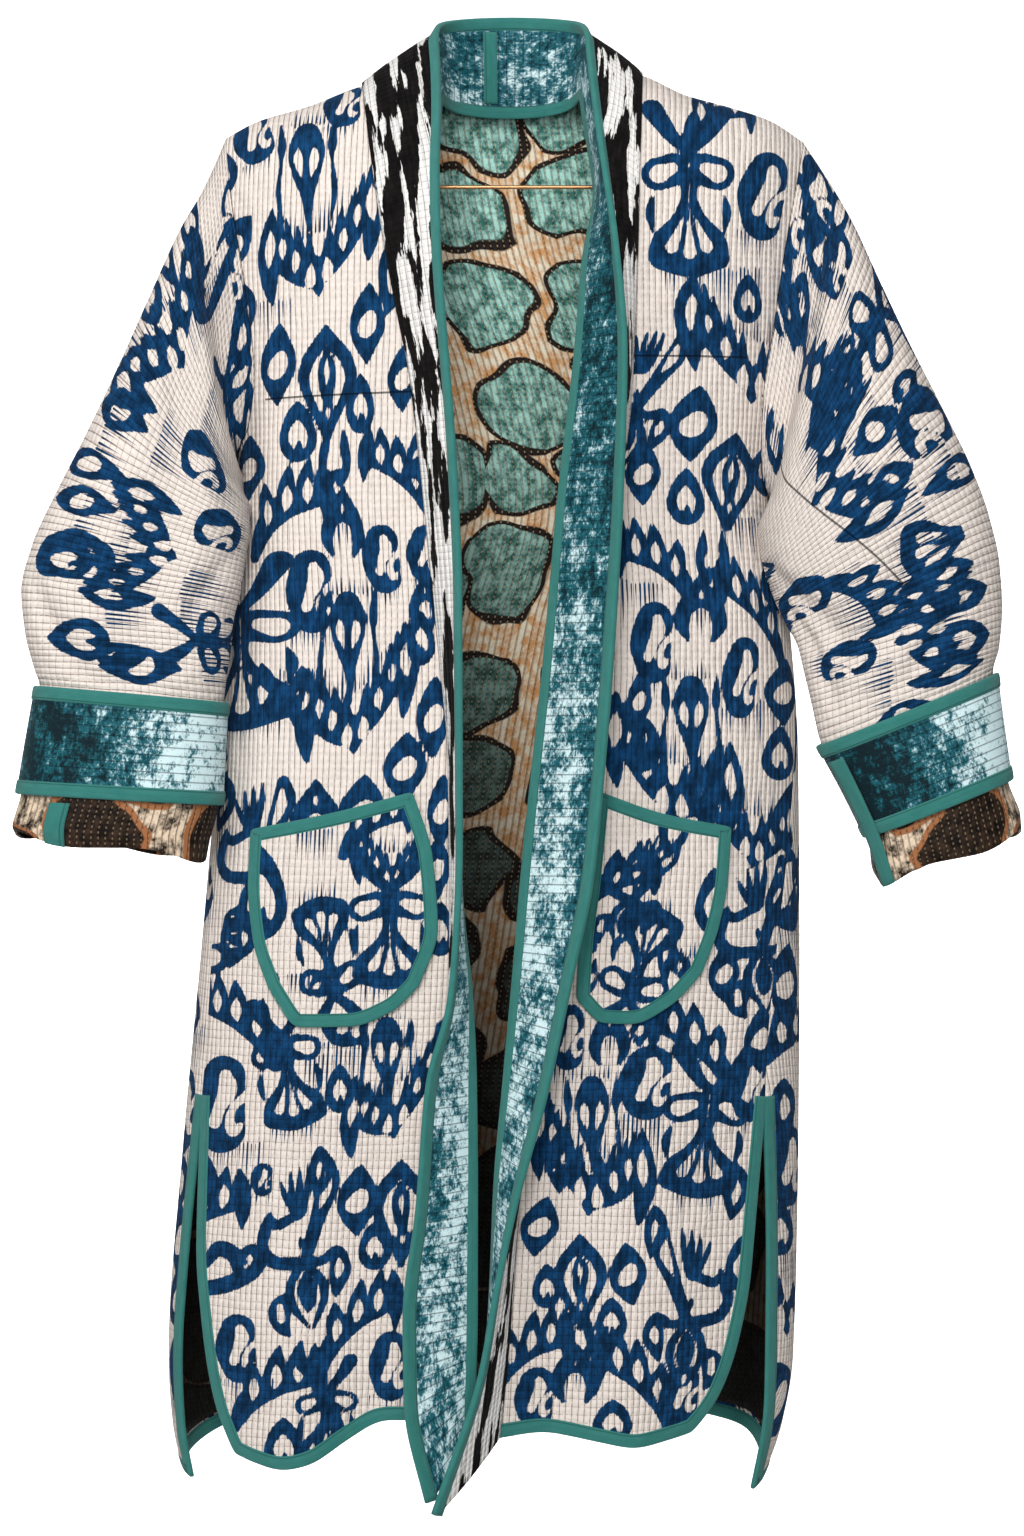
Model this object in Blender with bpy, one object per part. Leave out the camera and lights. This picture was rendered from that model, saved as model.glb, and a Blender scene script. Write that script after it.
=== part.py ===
"""Quilted open-fronted robe, hanging hollow on a plain wire hanger bar.

Units in the tables are millimetres; meshes are written in metres.
+X is the viewer's right when facing the open front, the front faces -Y, +Z is up.
The origin is the middle of the hanger's straight bar.
"""
import math

import bpy
import numpy as np

MM = 0.001

# ---------------------------------------------------------------- driving sizes
CLOTH = 2.6            # quilted two-layer cloth
LINING = 1.0           # lining layer where it is seen on its own
LINING_SHORT = 0.5     # the lining stops this far inside the back's own sides and hem
BAND = 1.6             # front band and its velvet facing
CUFF = 2.0             # turned velvet cuff
SEAM_GAP = 0.3         # between pieces that are sewn edge to edge
LAYER_GAP = 1.5        # between a panel and what lies on it
BINDING_WIDTH = 11.0   # bias binding, folded
BINDING_THICK = 4.4
QUILT_RISE = 0.7       # height of a raised quilting channel
RIDGE_ROUND = 60.0     # drop over which the shoulder fold rounds off
SQUARENESS = 0.87      # 1 gives an elliptic body section, less gives a squarer one
BAR_RADIUS = 1.5
BAND_START = 1.5       # the band's rim starts this far from the body's seam edge,
BAND_RAISE = 1.3       # and this far above its outer face
STRIP_LIFT = 2.8       # the neck strip's clearance over the facing's bowed middle
TAB_THICK = 1.6
BAR_DROP = 6.1         # the bar's arms lie this far under the shoulder fold
SLIT_TOP_Z = -705.0

# Rows of every body panel: shoulder to underarm, underarm to slit, slit to hem
ROWS_ARM = 10
ROWS_SIDE = 7
ROWS_SLIT = 6
COLUMNS_FRONT = 9
COLUMNS_NECK = 6

# Body section by height: left and right side x, half depth to the front and the back
BODY = (
    # z,    left,  right, front, back
    (90, -246, 236, 66, 62),
    (-30, -240, 222, 80, 70),
    (-150, -224, 204, 86, 76),
    (-240, -219, 194, 88, 78),
    (-340, -227, 210, 88, 80),
    (-450, -236, 217, 87, 80),
    (-600, -249, 218, 87, 82),
    (-750, -263, 217, 88, 84),
    (-910, -274, 213, 90, 86),
    (-960, -271, 205, 90, 86),
    (-1020, -257, 184, 88, 84),
)

# Height of the shoulder fold across the body; between the neck points it is the
# crown that the back neck is cut out of
SHOULDER = (
    # x,    z
    (-240, 32),
    (-229, 38),
    (-203, 51),
    (-165, 62),
    (-122, 78),
    (-8, 102),
    (94, 86),
    (128, 71),
    (161, 62),
    (193, 52),
    (221, 35),
    (232, 28),
)

# Soft upright folds: how far the cloth stands out, growing from start_z down to the hem
FOLDS = (
    # centre_x, half_width, stands_out, start_z
    (-176, 34, 12, -560),
    (-118, 26, -9, -640),
    (86, 40, 10, -600),
    (22, 26, -7, -700),
    (160, 26, -8, -620),
    (-205, 40, 8, 420),
)

# One side of the garment: seam is where the front meets the band, edge is the
# armhole, then the side seam, then the front's slit edge with its round corner
LEFT = {
    "sign": -1,
    "neck": (-122, 78),
    "shoulder": (-229, 38),
    "underarm_z": -212,
    "seam": ((78, -122), (-6, -111), (-60, -102), (-107, -93), (-151, -84), (-225, -75),
             (-326, -65), (-402, -57), (-440, -54), (-600, -52), (-688, -56), (-779, -62),
             (-860, -68), (-946, -69)),
    "armhole": ((38, -229), (-16, -222), (-93, -210), (-150, -204), (-190, -209), (-212, -223)),
    "slit": ((-705, -245), (-824, -248), (-871, -244), (-908, -239), (-943, -231), (-972, -218)),
    "hem": ((-231, -972), (-218, -974), (-202, -979), (-181, -983), (-160, -979), (-132, -962),
            (-101, -946), (-60, -945)),
    "back_slit": ((-705, -245), (-830, -258), (-912, -263), (-960, -261), (-1003, -254)),
}
RIGHT = {
    "sign": 1,
    "neck": (94, 86),
    "shoulder": (221, 35),
    "underarm_z": -247,
    "seam": ((86, 94), (36, 92), (-18, 90), (-95, 87), (-175, 83), (-251, 72), (-364, 53),
             (-477, 36), (-591, 21), (-689, 9), (-780, -2), (-830, -5), (-896, -10), (-959, -16)),
    "armhole": ((35, 221), (-31, 208), (-108, 196), (-185, 186), (-225, 186), (-247, 195)),
    "slit": ((-705, 188), (-816, 178), (-847, 175), (-883, 168), (-911, 160), (-937, 148),
             (-957, 131)),
    "hem": ((-20, -959), (16, -955), (40, -958), (63, -962), (87, -966), (110, -962),
            (131, -957), (150, -950)),
    "back_slit": ((-705, 188), (-826, 191), (-943, 190), (-1014, 180)),
}

# Hem of the back by angle round the body (0 is the front, 180 the back)
BACK_HEM = (
    # angle, z
    (-150, -960),
    (-125, -972),
    (-108, -984),
    (-90, -994),
    (-60, -1003),
    (60, -1014),
    (84, -1004),
    (100, -992),
    (118, -972),
    (150, -960),
)

# Front edge of the robe by height of the band's seam: the free edge of the band, and
# the inner edge of the velvet facing behind it
BAND_LEFT = (
    # seam_z, free x, y, z, inner x, y, z
    (78, -65, -2, 125, -61, 8, 68),
    (60, -62, -25, 90, -62, -6, 52),
    (30, -61, -52, 52, -64, -22, 24),
    (-10, -62, -78, 5, -68, -42, -12),
    (-60, -61, -98, -52, -69, -56, -60),
    (-107, -58, -108, -103, -66, -64, -107),
    (-225, -49, -116, -224, -57, -74, -225),
    (-326, -45, -118, -326, -53, -78, -326),
    (-440, -45, -120, -440, -50, -82, -440),
    (-516, -45, -121, -516, -47, -84, -516),
    (-575, -48, -121, -575, -42, -86, -575),
    (-626, -53, -120, -628, -36, -88, -626),
    (-688, -70, -118, -690, -33, -90, -688),
    (-779, -78, -114, -784, -32, -91, -779),
    (-860, -88, -110, -870, -32, -91, -864),
    (-905, -87, -108, -935, -33, -91, -910),
    (-946, -71, -105, -1007, -35, -91, -952),
)
BAND_RIGHT = (
    # seam_z, free x, y, z, inner x, y, z
    (86, 51, -2, 125, 47, 8, 72),
    (60, 53, -26, 92, 49, -6, 52),
    (30, 57, -52, 52, 53, -22, 24),
    (-10, 63, -78, 5, 57, -42, -12),
    (-60, 72, -98, -55, 48, -58, -60),
    (-140, 79, -110, -138, 41, -66, -140),
    (-251, 76, -118, -251, 28, -74, -251),
    (-309, 73, -120, -309, 23, -76, -309),
    (-387, 68, -121, -387, 16, -78, -387),
    (-460, 62, -122, -460, 8, -80, -460),
    (-539, 54, -122, -539, 0, -82, -539),
    (-600, 40, -121, -605, -5, -84, -600),
    (-689, 19, -120, -700, -13, -86, -689),
    (-780, -4, -120, -782, -20, -89, -772),
    (-830, -17, -121, -840, -22, -91, -832),
    (-896, -31, -122, -912, -25, -93, -898),
    (-959, -66, -123, -1011, -30, -96, -962),
)
NECK_BACK = {"free": (-7, 45, 142), "inner": (-7, 46, 61), "seam_z": 62}

# Sleeves: each section runs from the outer edge of the arm to its inner edge
SLEEVE_LEFT = (
    # outer x, z, inner x, z, middle y, half depth
    (-246, -4, -229, -217, -6, 46),
    (-264, -42, -231, -229, -22, 53),
    (-286, -93, -227, -243, -36, 56),
    (-311, -152, -222, -259, -46, 57),
    (-334, -202, -218, -276, -52, 56),
    (-356, -246, -216, -296, -56, 53),
    (-373, -284, -217, -318, -58, 50),
    (-381, -318, -219, -340, -58, 48),
    (-378, -350, -221, -362, -58, 46),
    (-371, -378, -225, -388, -57, 43),
)
SLEEVE_RIGHT = (
    # outer x, z, inner x, z, middle y, half depth
    (240, 2, 204, -252, -6, 46),
    (257, -34, 205, -262, -22, 53),
    (276, -78, 201, -275, -36, 56),
    (298, -127, 197, -290, -46, 57),
    (321, -174, 196, -306, -52, 56),
    (343, -220, 199, -323, -56, 53),
    (358, -261, 206, -341, -58, 50),
    (366, -298, 212, -360, -58, 48),
    (368, -331, 217, -380, -58, 46),
    (366, -360, 223, -405, -57, 43),
)
CUFF_LEFT = (
    # outer x, z, inner x, z, middle y, half depth
    (-371, -391, -223, -404, -56, 45),
    (-378, -430, -225, -440, -56, 46),
    (-385, -472, -227, -481, -56, 47),
)
CUFF_RIGHT = (
    # outer x, z, inner x, z, middle y, half depth
    (365, -381, 227, -437, -56, 45),
    (370, -420, 245, -470, -56, 46),
    (376, -461, 263, -506, -56, 47),
)
END_LEFT = (
    # below the cuff: outer x, z, inner x, z, middle y, half depth
    (-388, -497, -237, -507, -56, 42),
    (-386, -504, -240, -523, -56, 40),
)
END_RIGHT = (
    # below the cuff: outer x, z, inner x, z, middle y, half depth
    (382, -488, 269, -529, -56, 42),
    (383, -502, 275, -541, -56, 40),
)
CUFF_OVERLAP = 0.4     # share of the cuff's length that the sleeve runs into it
END_START = 0.5        # share of the cuff's length where its turned lining starts
END_WAVE = 3.0         # the turned lining ends dip and rise round the wrist
END_WAVES = 4

# Valleys pressed into the sleeves: their angle by ring, then half width and depth
SLEEVE_FOLDS_LEFT = (
    # ((ring, angle), ...), half width in degrees, depth
    (((2.0, 76), (3.7, 88), (5.6, 98), (8.2, 100), (11.0, 90)), 24, 8.0),
)
SLEEVE_FOLDS_RIGHT = (
    (((4.5, 172), (6.5, 150), (9.5, 116)), 24, 7.0),
    (((6.5, 76), (8.0, 90), (9.5, 116)), 22, 6.0),
)
# Flat strips on the cuffs: first and last column, rings of the cuff that they cover
TAB_LEFT = {"columns": (3.0, 3.75), "cuff": (), "end": (0.4, 2 / 3, 1.0), "lift": 0.6}
TAB_RIGHT = {"columns": (8.0, 9.0), "cuff": (0.2, 0.6, 1.0), "end": (1.0,), "lift": 0.5}

# Patch pockets: lift clears the quilting below them, whose cells bend differently; then
# the top edge, the side edges' widest points and the bottom
POCKET_LEFT = {
    "lift": 1.4,
    "top": ((-204, -500), (-141, -487), (-81, -471)),
    "inner": ((-471, -81), (-520, -66), (-575, -62), (-618, -76)),
    "outer": ((-500, -204), (-543, -206), (-585, -202), (-622, -190)),
    "bottom": ((-190, -622), (-168, -650), (-128, -649), (-96, -637), (-76, -618)),
}
POCKET_RIGHT = {
    "lift": 0.9,
    "top": ((57, -470), (109, -488), (160, -498)),
    "inner": ((-470, 57), (-540, 50), (-590, 44), (-628, 42)),
    "outer": ((-498, 160), (-540, 157), (-575, 150), (-610, 137)),
    "bottom": ((42, -628), (62, -646), (84, -647), (114, -633), (137, -610)),
}
POCKET_CELLS = (7, 6)
CORNERS = (
    # grid corner, the inner point beside it, the next one in
    ((0, 0), (1, 1), (2, 2)),
    ((0, -1), (1, -2), (2, -3)),
    ((-1, 0), (-2, 1), (-3, 2)),
    ((-1, -1), (-2, -2), (-3, -3)),
)

COLOURS = {
    # name: (r, g, b), roughness, metallic
    "ikat_cotton": ((0.60, 0.58, 0.60), 0.85, 0.0),
    "black_white_ikat": ((0.42, 0.41, 0.41), 0.85, 0.0),
    "teal_velvet": ((0.06, 0.25, 0.29), 0.55, 0.0),
    "teal_binding": ((0.06, 0.25, 0.21), 0.75, 0.0),
    "printed_lining": ((0.42, 0.27, 0.16), 0.6, 0.0),
    "copper_wire": ((0.75, 0.42, 0.26), 0.3, 1.0),
}


# ---------------------------------------------------------------- scene helpers
def clear_scene():
    for old in list(bpy.data.objects):
        bpy.data.objects.remove(old)


def material(name):
    colour, roughness, metallic = COLOURS[name]
    made = bpy.data.materials.new(name)
    made.use_nodes = True
    shader = made.node_tree.nodes["Principled BSDF"]
    shader.inputs["Base Color"].default_value = (*colour, 1.0)
    shader.inputs["Roughness"].default_value = roughness
    shader.inputs["Metallic"].default_value = metallic
    return made


def mesh_object(name, points, faces, finish):
    """Adds one named object from points in millimetres."""
    mesh = bpy.data.meshes.new(name)
    mesh.from_pydata((np.asarray(points) * MM).tolist(), [], faces)
    mesh.validate()
    made = bpy.data.objects.new(name, mesh)
    made.data.materials.append(material(finish))
    bpy.data.collections["chapan_robe"].objects.link(made)
    mesh.shade_smooth()
    mesh.set_sharp_from_angle(angle=math.radians(40))
    return made


# ---------------------------------------------------------------- curves
def smooth(rows, at):
    """Values of a table at `at`, by a cubic that never overshoots between its rows."""
    table = np.asarray(rows, float)
    if table[0, 0] > table[-1, 0]:
        table = table[::-1]
    x = table[:, 0]
    y = table[:, 1:]
    step = np.diff(x)[:, None]
    rise = np.diff(y, axis=0) / step
    slope = np.zeros_like(y)
    same = rise[1:] * rise[:-1] > 0
    mean = 2 * rise[1:] * rise[:-1] / np.where(same, rise[1:] + rise[:-1], 1.0)
    slope[1:-1] = np.where(same, mean, 0.0)
    slope[0] = rise[0]
    slope[-1] = rise[-1]
    at = np.clip(np.atleast_1d(np.asarray(at, float)), x[0], x[-1])
    k = np.clip(np.searchsorted(x, at) - 1, 0, len(x) - 2)
    h = step[k]
    t = (at - x[k])[:, None] / h
    value = (
        (2 * t**3 - 3 * t**2 + 1) * y[k]
        + (t**3 - 2 * t**2 + t) * h * slope[k]
        + (3 * t**2 - 2 * t**3) * y[k + 1]
        + (t**3 - t**2) * h * slope[k + 1]
    )
    return value


def smooth1(rows, at):
    return smooth(rows, at)[:, 0]


def unit(v):
    return v / np.maximum(np.linalg.norm(v, axis=-1, keepdims=True), 1e-9)


# ---------------------------------------------------------------- body surface
def body_angle(x, z):
    """Angle round the front half of the body section, 0 at its middle, where it has this x."""
    left, right = smooth(BODY, z)[:, :2].T
    share = np.clip((x - (left + right) / 2) / ((right - left) / 2), -1, 1)
    return np.degrees(np.arcsin(np.sign(share) * np.abs(share) ** (1 / SQUARENESS)))


def body_point(angle, z):
    """Point of the body's outer surface: x = middle + half width * sin^k(angle),
    y = -depth * cos^k(angle) * sqrt(1 - (1 - drop / RIDGE_ROUND)^2) near the shoulder fold."""
    angle, z = np.broadcast_arrays(np.radians(np.asarray(angle, float)), np.asarray(z, float))
    shape = angle.shape
    angle = angle.ravel()
    z = z.ravel()
    left, right, front, back = smooth(BODY, z).T
    across = np.sign(np.sin(angle)) * np.abs(np.sin(angle)) ** SQUARENESS
    along = np.sign(np.cos(angle)) * np.abs(np.cos(angle)) ** SQUARENESS
    x = (left + right) / 2 + (right - left) / 2 * across
    drop = np.clip(smooth1(SHOULDER, x) - z, 0, RIDGE_ROUND)
    rounded = np.sqrt(1 - (1 - drop / RIDGE_ROUND) ** 2)
    depth = np.where(along > 0, front, back)
    swell = np.zeros_like(x)
    for centre, half, out, start in FOLDS:
        grow = np.clip((start - z) / (start + 960), 0, 1)
        swell += out * grow * np.exp(-(((x - centre) / half) ** 2)) * np.abs(along) ** 0.5
    y = -along * (depth + swell) * rounded
    return np.stack([x, y, z], axis=-1).reshape(*shape, 3)


def body_inward(angle, z):
    """Unit direction from the outer surface into the cloth."""
    around = body_point(angle + 0.05, z) - body_point(angle - 0.05, z)
    down = body_point(angle, z - 0.05) - body_point(angle, z)
    return unit(np.cross(around, down))


# ---------------------------------------------------------------- walls
def grid_faces(rows, columns, offset, flip, closed):
    faces = []
    across = columns if closed else columns - 1
    for i in range(rows - 1):
        for j in range(across):
            k = (j + 1) % columns
            a, b = offset + i * columns + j, offset + i * columns + k
            d, c = a + columns, b + columns
            for face in ((a, b, c), (a, c, d)):
                faces.append(face[::-1] if flip else face)
    return faces


def outward_sign(outer, inner):
    """Whether grid_faces needs flipping for its faces to look away from the inner points."""
    i, j = outer.shape[0] // 2, outer.shape[1] // 2
    i, j = min(i, outer.shape[0] - 2), min(j, outer.shape[1] - 2)
    normal = np.cross(outer[i, j + 1] - outer[i, j], outer[i + 1, j] - outer[i, j])
    return np.dot(normal, outer[i, j] - inner[i, j]) < 0


def wall(name, outer, inner, finish, closed=False):
    """A wall between two grids of points that correspond, closed round its rim."""
    rows, columns = outer.shape[:2]
    count = rows * columns
    flip = outward_sign(outer, inner)
    faces = grid_faces(rows, columns, 0, flip, closed)
    faces += grid_faces(rows, columns, count, not flip, closed)
    rims = []
    across = columns if closed else columns - 1
    for j in range(across):
        k = (j + 1) % columns
        rims.append((k, j))
        last = (rows - 1) * columns
        rims.append((last + j, last + k))
    if not closed:
        for i in range(rows - 1):
            rims.append((i * columns, (i + 1) * columns))
            end = columns - 1
            rims.append(((i + 1) * columns + end, i * columns + end))
    for a, b in rims:
        face = [a, b, count + b, count + a]
        faces.append(face[::-1] if flip else face)
    points = np.concatenate([outer.reshape(-1, 3), inner.reshape(-1, 3)])
    return mesh_object(name, points, faces, finish)


def bar(name, path, across, normal, finish, closed=False,
        width=BINDING_WIDTH, thick=BINDING_THICK):
    """A flat strip of rectangular section: `path` is its outer edge, `across` points from
    that edge over the strip, `normal` stands on its face."""
    corners = [
        path + normal * thick / 2,
        path + across * width + normal * thick / 2,
        path + across * width - normal * thick / 2,
        path - normal * thick / 2,
    ]
    loops = np.stack(corners, axis=1)
    count = len(path)
    faces = []
    for i in range(count if closed else count - 1):
        k = (i + 1) % count
        for j in range(4):
            m = (j + 1) % 4
            faces.append([i * 4 + j, i * 4 + m, k * 4 + m, k * 4 + j])
    if not closed:
        faces.append([3, 2, 1, 0])
        end = (count - 1) * 4
        faces.append([end, end + 1, end + 2, end + 3])
    step = path[1] - path[0]
    if np.dot(np.cross(corners[1][0] - corners[0][0], step), normal[0]) < 0:
        faces = [face[::-1] for face in faces]
    return mesh_object(name, loops.reshape(-1, 3), faces, finish)


def quilted(outer, inward):
    """Raises every other column inside a panel's rim, over its plain inner face."""
    raised = outer.copy()
    raised[1:-1, 1:-1:2] -= inward[1:-1, 1:-1:2] * QUILT_RISE
    return raised


def into_cloth(rim, beside, thickness):
    """Unit directions in the cloth, square to a rim: towards the points beside it, or by
    the wall's own direction where the cloth's grid runs along the rim."""
    along = unit(np.gradient(rim, axis=0))
    step = beside - rim
    square = step - along * np.sum(step * along, axis=-1, keepdims=True)
    turned = unit(np.cross(along, thickness))
    turned *= np.sign(np.sum(turned * step, axis=-1, keepdims=True))
    slanting = np.linalg.norm(square, axis=-1) < 0.4 * np.linalg.norm(step, axis=-1)
    return np.where(slanting[:, None], turned, unit(square))


def draw_back(outer, inner, rims):
    """Moves a wall's rims into its cloth. Each of rims is (its index, the index beside it,
    amount); where two meet, the corner moves so that it is clear of both."""
    first = np.zeros_like(outer)
    first_amount = np.zeros(outer.shape[:-1])
    move = np.zeros_like(outer)
    for rim, beside, amount in rims:
        into = into_cloth(outer[rim], outer[beside], inner[rim] - outer[rim])
        amount = np.broadcast_to(amount, into.shape[:-1])
        was, was_amount = first[rim], first_amount[rim]
        cos = np.sum(was * into, axis=-1)
        spread = np.maximum(1 - cos**2, 0.2)
        own = ((amount - cos * was_amount) / spread)[:, None]
        other = ((was_amount - cos * amount) / spread)[:, None]
        level = unit(was + into) * np.maximum(amount, was_amount)[:, None]
        move[rim] = np.where((cos > 0.89)[:, None], level, own * into + other * was)
        first[rim] = into
        first_amount[rim] = amount
    outer += move
    inner += move


TOP, BOTTOM = (np.s_[0, :], np.s_[1, :]), (np.s_[-1, :], np.s_[-2, :])
START, END = (np.s_[:, 0], np.s_[:, 1]), (np.s_[:, -1], np.s_[:, -2])


# ---------------------------------------------------------------- body panels
def edge_angle(side, z, slit):
    """Angle of a panel's outer edge: armhole, side seam from 90 degrees forward, then slit."""
    sign = side["sign"]
    under = side["underarm_z"]
    armhole = body_angle(smooth1([(h, x) for h, x in side["armhole"]], z), z)
    at_slit = body_angle(np.array([side["slit"][0][1]]), np.array([SLIT_TOP_Z]))[0]
    share = np.clip((under - z) / (under - SLIT_TOP_Z), 0, 1)
    share = share * share * (3 - 2 * share)
    seam = sign * 90 + (at_slit - sign * 90) * share
    open_edge = body_angle(smooth1([(h, x) for h, x in side[slit]], z), z)
    return np.where(z >= under, armhole, np.where(z >= SLIT_TOP_Z, seam, open_edge))


def row_shares():
    """Three runs of rows, each as (run, share of that run)."""
    arm = [(0, (i / ROWS_ARM) ** 1.25) for i in range(ROWS_ARM)]
    side = [(1, i / ROWS_SIDE) for i in range(ROWS_SIDE + 1)]
    slit = [(2, i / ROWS_SLIT) for i in range(ROWS_SLIT + 1)]
    return arm + side + slit


SLIT_ROW = ROWS_ARM + ROWS_SIDE + 1    # the row at the top of the slit
LAST_ROW = SLIT_ROW + ROWS_SLIT
SLIT_STEP = 2.0                        # the row above it, where the edges are still sewn


def row_height(run, share, top, under, bottom):
    if run == 0:
        return top + (under - top) * share
    if run == 1:
        return under + (SLIT_TOP_Z + SLIT_STEP - under) * share + 0 * top
    return SLIT_TOP_Z + (bottom - SLIT_TOP_Z) * share


def front_angles(side):
    """Grids of angle and height of a front, from the band's seam out to its edge."""
    u = np.linspace(0, 1, COLUMNS_FRONT + 1)
    seam = lambda z: body_angle(smooth1([(h, x) for h, x in side["seam"]], z), z)
    edge = lambda z: edge_angle(side, z, "slit")
    across = lambda z: seam(z) + (edge(z) - seam(z)) * u
    top = side["neck"][1] + (side["shoulder"][1] - side["neck"][1]) * u
    bottom = np.full_like(u, side["hem"][0][1])
    for _ in range(12):
        top = smooth1(SHOULDER, body_point(across(top), top)[:, 0])
        bottom = smooth1(side["hem"], body_point(across(bottom), bottom)[:, 0])
    heights = np.array([
        row_height(run, share, top, side["underarm_z"], bottom) for run, share in row_shares()
    ])
    return np.array([across(z) for z in heights]), heights


def panel(angles, heights, thick):
    outer = body_point(angles, heights)
    inward = body_inward(angles, heights)
    return outer, outer + inward * thick, inward


def slit_amounts(sewn, bound):
    amounts = np.full(LAST_ROW + 1, sewn)
    amounts[SLIT_ROW:] = bound
    return amounts


def build_front(side, name):
    angles, heights = front_angles(side)
    outer, inner, inward = panel(angles, heights, CLOTH)
    middle = (outer + inner) / 2
    border = {
        "seam": outer[:, 0].copy(), "seam_inward": inward[:, 0].copy(),
        "armhole": outer[: ROWS_ARM + 1, -1].copy(),
        "armhole_inward": inward[: ROWS_ARM + 1, -1].copy(),
        "top_x": outer[0, :, 0].copy(), "top_z": heights[0].copy(),
    }
    sewn = SEAM_GAP * 0.8
    bound = BINDING_WIDTH + 2.5 * SEAM_GAP
    edge = np.concatenate([middle[SLIT_ROW:, -1], middle[-1, -2::-1]])
    beside = np.concatenate([middle[SLIT_ROW:, -2], middle[-2, -2::-1]])
    beside[LAST_ROW - SLIT_ROW] = middle[-2, -2]
    edge_normal = -np.concatenate([inward[SLIT_ROW:, -1], inward[-1, -2::-1]])
    draw_back(outer, inner, ((*BOTTOM, bound), (*TOP, sewn), (*START, sewn),
                             (*END, slit_amounts(sewn, bound))))
    wall(f"front_{name}", quilted(outer, inward), inner, "ikat_cotton")
    edge_binding(f"hem_binding_{name}", edge, beside, edge_normal)
    return border


def edge_binding(name, edge, beside, normal):
    """Bias binding round a slit and a hem: lies over the cloth's drawn-back rim."""
    along = unit(np.gradient(edge, axis=0))
    across = beside - edge
    across -= along * np.sum(across * along, axis=1, keepdims=True)
    across = unit(across)
    normal = unit(normal - across * np.sum(normal * across, axis=1, keepdims=True))
    path = edge + across * SEAM_GAP
    path[0] += along[0] * 0.6
    path[-1] -= along[-1] * 0.6
    return bar(name, path, across, normal, "teal_binding")


def back_angles(left, right):
    """Grids of angle and height of the back, from its left edge round to its right edge.
    Angles run on past -180, so the right edge is at its own angle less 360."""
    neck_left, neck_right = left["top_x"][0], right["top_x"][0]
    middle, half = (neck_left + neck_right) / 2, (neck_right - neck_left) / 2
    turn = np.pi * np.arange(1, COLUMNS_NECK) / COLUMNS_NECK
    neck_x = middle - half * np.cos(turn)
    level = left["top_z"][0] + (right["top_z"][0] - left["top_z"][0]) * (1 - np.cos(turn)) / 2
    neck_z = level + (NECK_BACK["seam_z"] - level) * np.sin(turn) ** 0.8
    top_x = np.concatenate([left["top_x"][::-1], neck_x, right["top_x"]])
    top = np.concatenate([left["top_z"][::-1], neck_z, right["top_z"]])
    count = len(top_x)
    even = np.linspace(0, 1, count)

    def ends(z):
        a = edge_angle(LEFT, z, "back_slit")
        b = edge_angle(RIGHT, z, "back_slit")
        a = np.where(z > LEFT["underarm_z"], -180 - a, a)
        b = np.where(z > RIGHT["underarm_z"], 180 - b, b)
        return a, b - 360

    start, stop = ends(top)
    at_top = ((-180 - body_angle(top_x, top)) - start) / (stop - start)
    lowest = min(LEFT["underarm_z"], RIGHT["underarm_z"])

    def across(z):
        start, stop = ends(z)
        blend = np.clip((top - z) / (top - lowest), 0, 1)
        blend = blend * blend * (3 - 2 * blend)
        return start + (stop - start) * (at_top + (even - at_top) * blend)

    bottom = np.full(count, -960.0)
    for _ in range(6):
        wrapped = across(bottom)
        wrapped = np.where(wrapped < -180, wrapped + 360, wrapped)
        bottom = smooth1(BACK_HEM, wrapped)
    under = np.linspace(LEFT["underarm_z"], RIGHT["underarm_z"], count)
    heights = np.array([
        row_height(run, share, top, under, bottom) for run, share in row_shares()
    ])
    return np.array([across(z) for z in heights]), heights


def build_back(left, right):
    angles, heights = back_angles(left, right)
    angles[0, :COLUMNS_FRONT + 1] = -180 - body_angle(left["top_x"][::-1], left["top_z"][::-1])
    angles[0, -COLUMNS_FRONT - 1:] = -180 - body_angle(right["top_x"], right["top_z"])
    outer, inner, inward = panel(angles, heights, CLOTH)
    middle = (outer + inner) / 2
    border = {
        "left": outer[: ROWS_ARM + 1, 0].copy(),
        "left_inward": inward[: ROWS_ARM + 1, 0].copy(),
        "right": outer[: ROWS_ARM + 1, -1].copy(),
        "right_inward": inward[: ROWS_ARM + 1, -1].copy(),
        "neck": outer[0, COLUMNS_FRONT:-COLUMNS_FRONT].copy(),
        "neck_inward": inward[0, COLUMNS_FRONT:-COLUMNS_FRONT].copy(),
    }
    edge = np.concatenate([middle[SLIT_ROW:, 0], middle[-1, 1:-1], middle[SLIT_ROW:, -1][::-1]])
    beside = np.concatenate([middle[SLIT_ROW:, 1], middle[-2, 1:-1], middle[SLIT_ROW:, -2][::-1]])
    edge_normal = -np.concatenate(
        [inward[SLIT_ROW:, 0], inward[-1, 1:-1], inward[SLIT_ROW:, -1][::-1]])
    corner = LAST_ROW - SLIT_ROW
    beside[corner] = middle[-2, 1]
    beside[-1 - corner] = middle[-2, -2]
    sewn = SEAM_GAP * 0.8
    bound = BINDING_WIDTH + 2.5 * SEAM_GAP
    sides = slit_amounts(sewn, bound)
    draw_back(outer, inner, ((*BOTTOM, bound), (*TOP, sewn), (*START, sides), (*END, sides)))
    wall("back", quilted(outer, inward), inner, "ikat_cotton")
    edge_binding("hem_binding_back", edge, beside, edge_normal)
    skin = (inner + inward * LAYER_GAP)[1:]    # it starts below the shoulder fold
    lining = skin + inward[1:] * LINING
    draw_back(skin, lining, [(*rim, LINING_SHORT) for rim in (BOTTOM, START, END)])
    wall("lining_back", skin, lining, "printed_lining")
    return border


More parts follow.
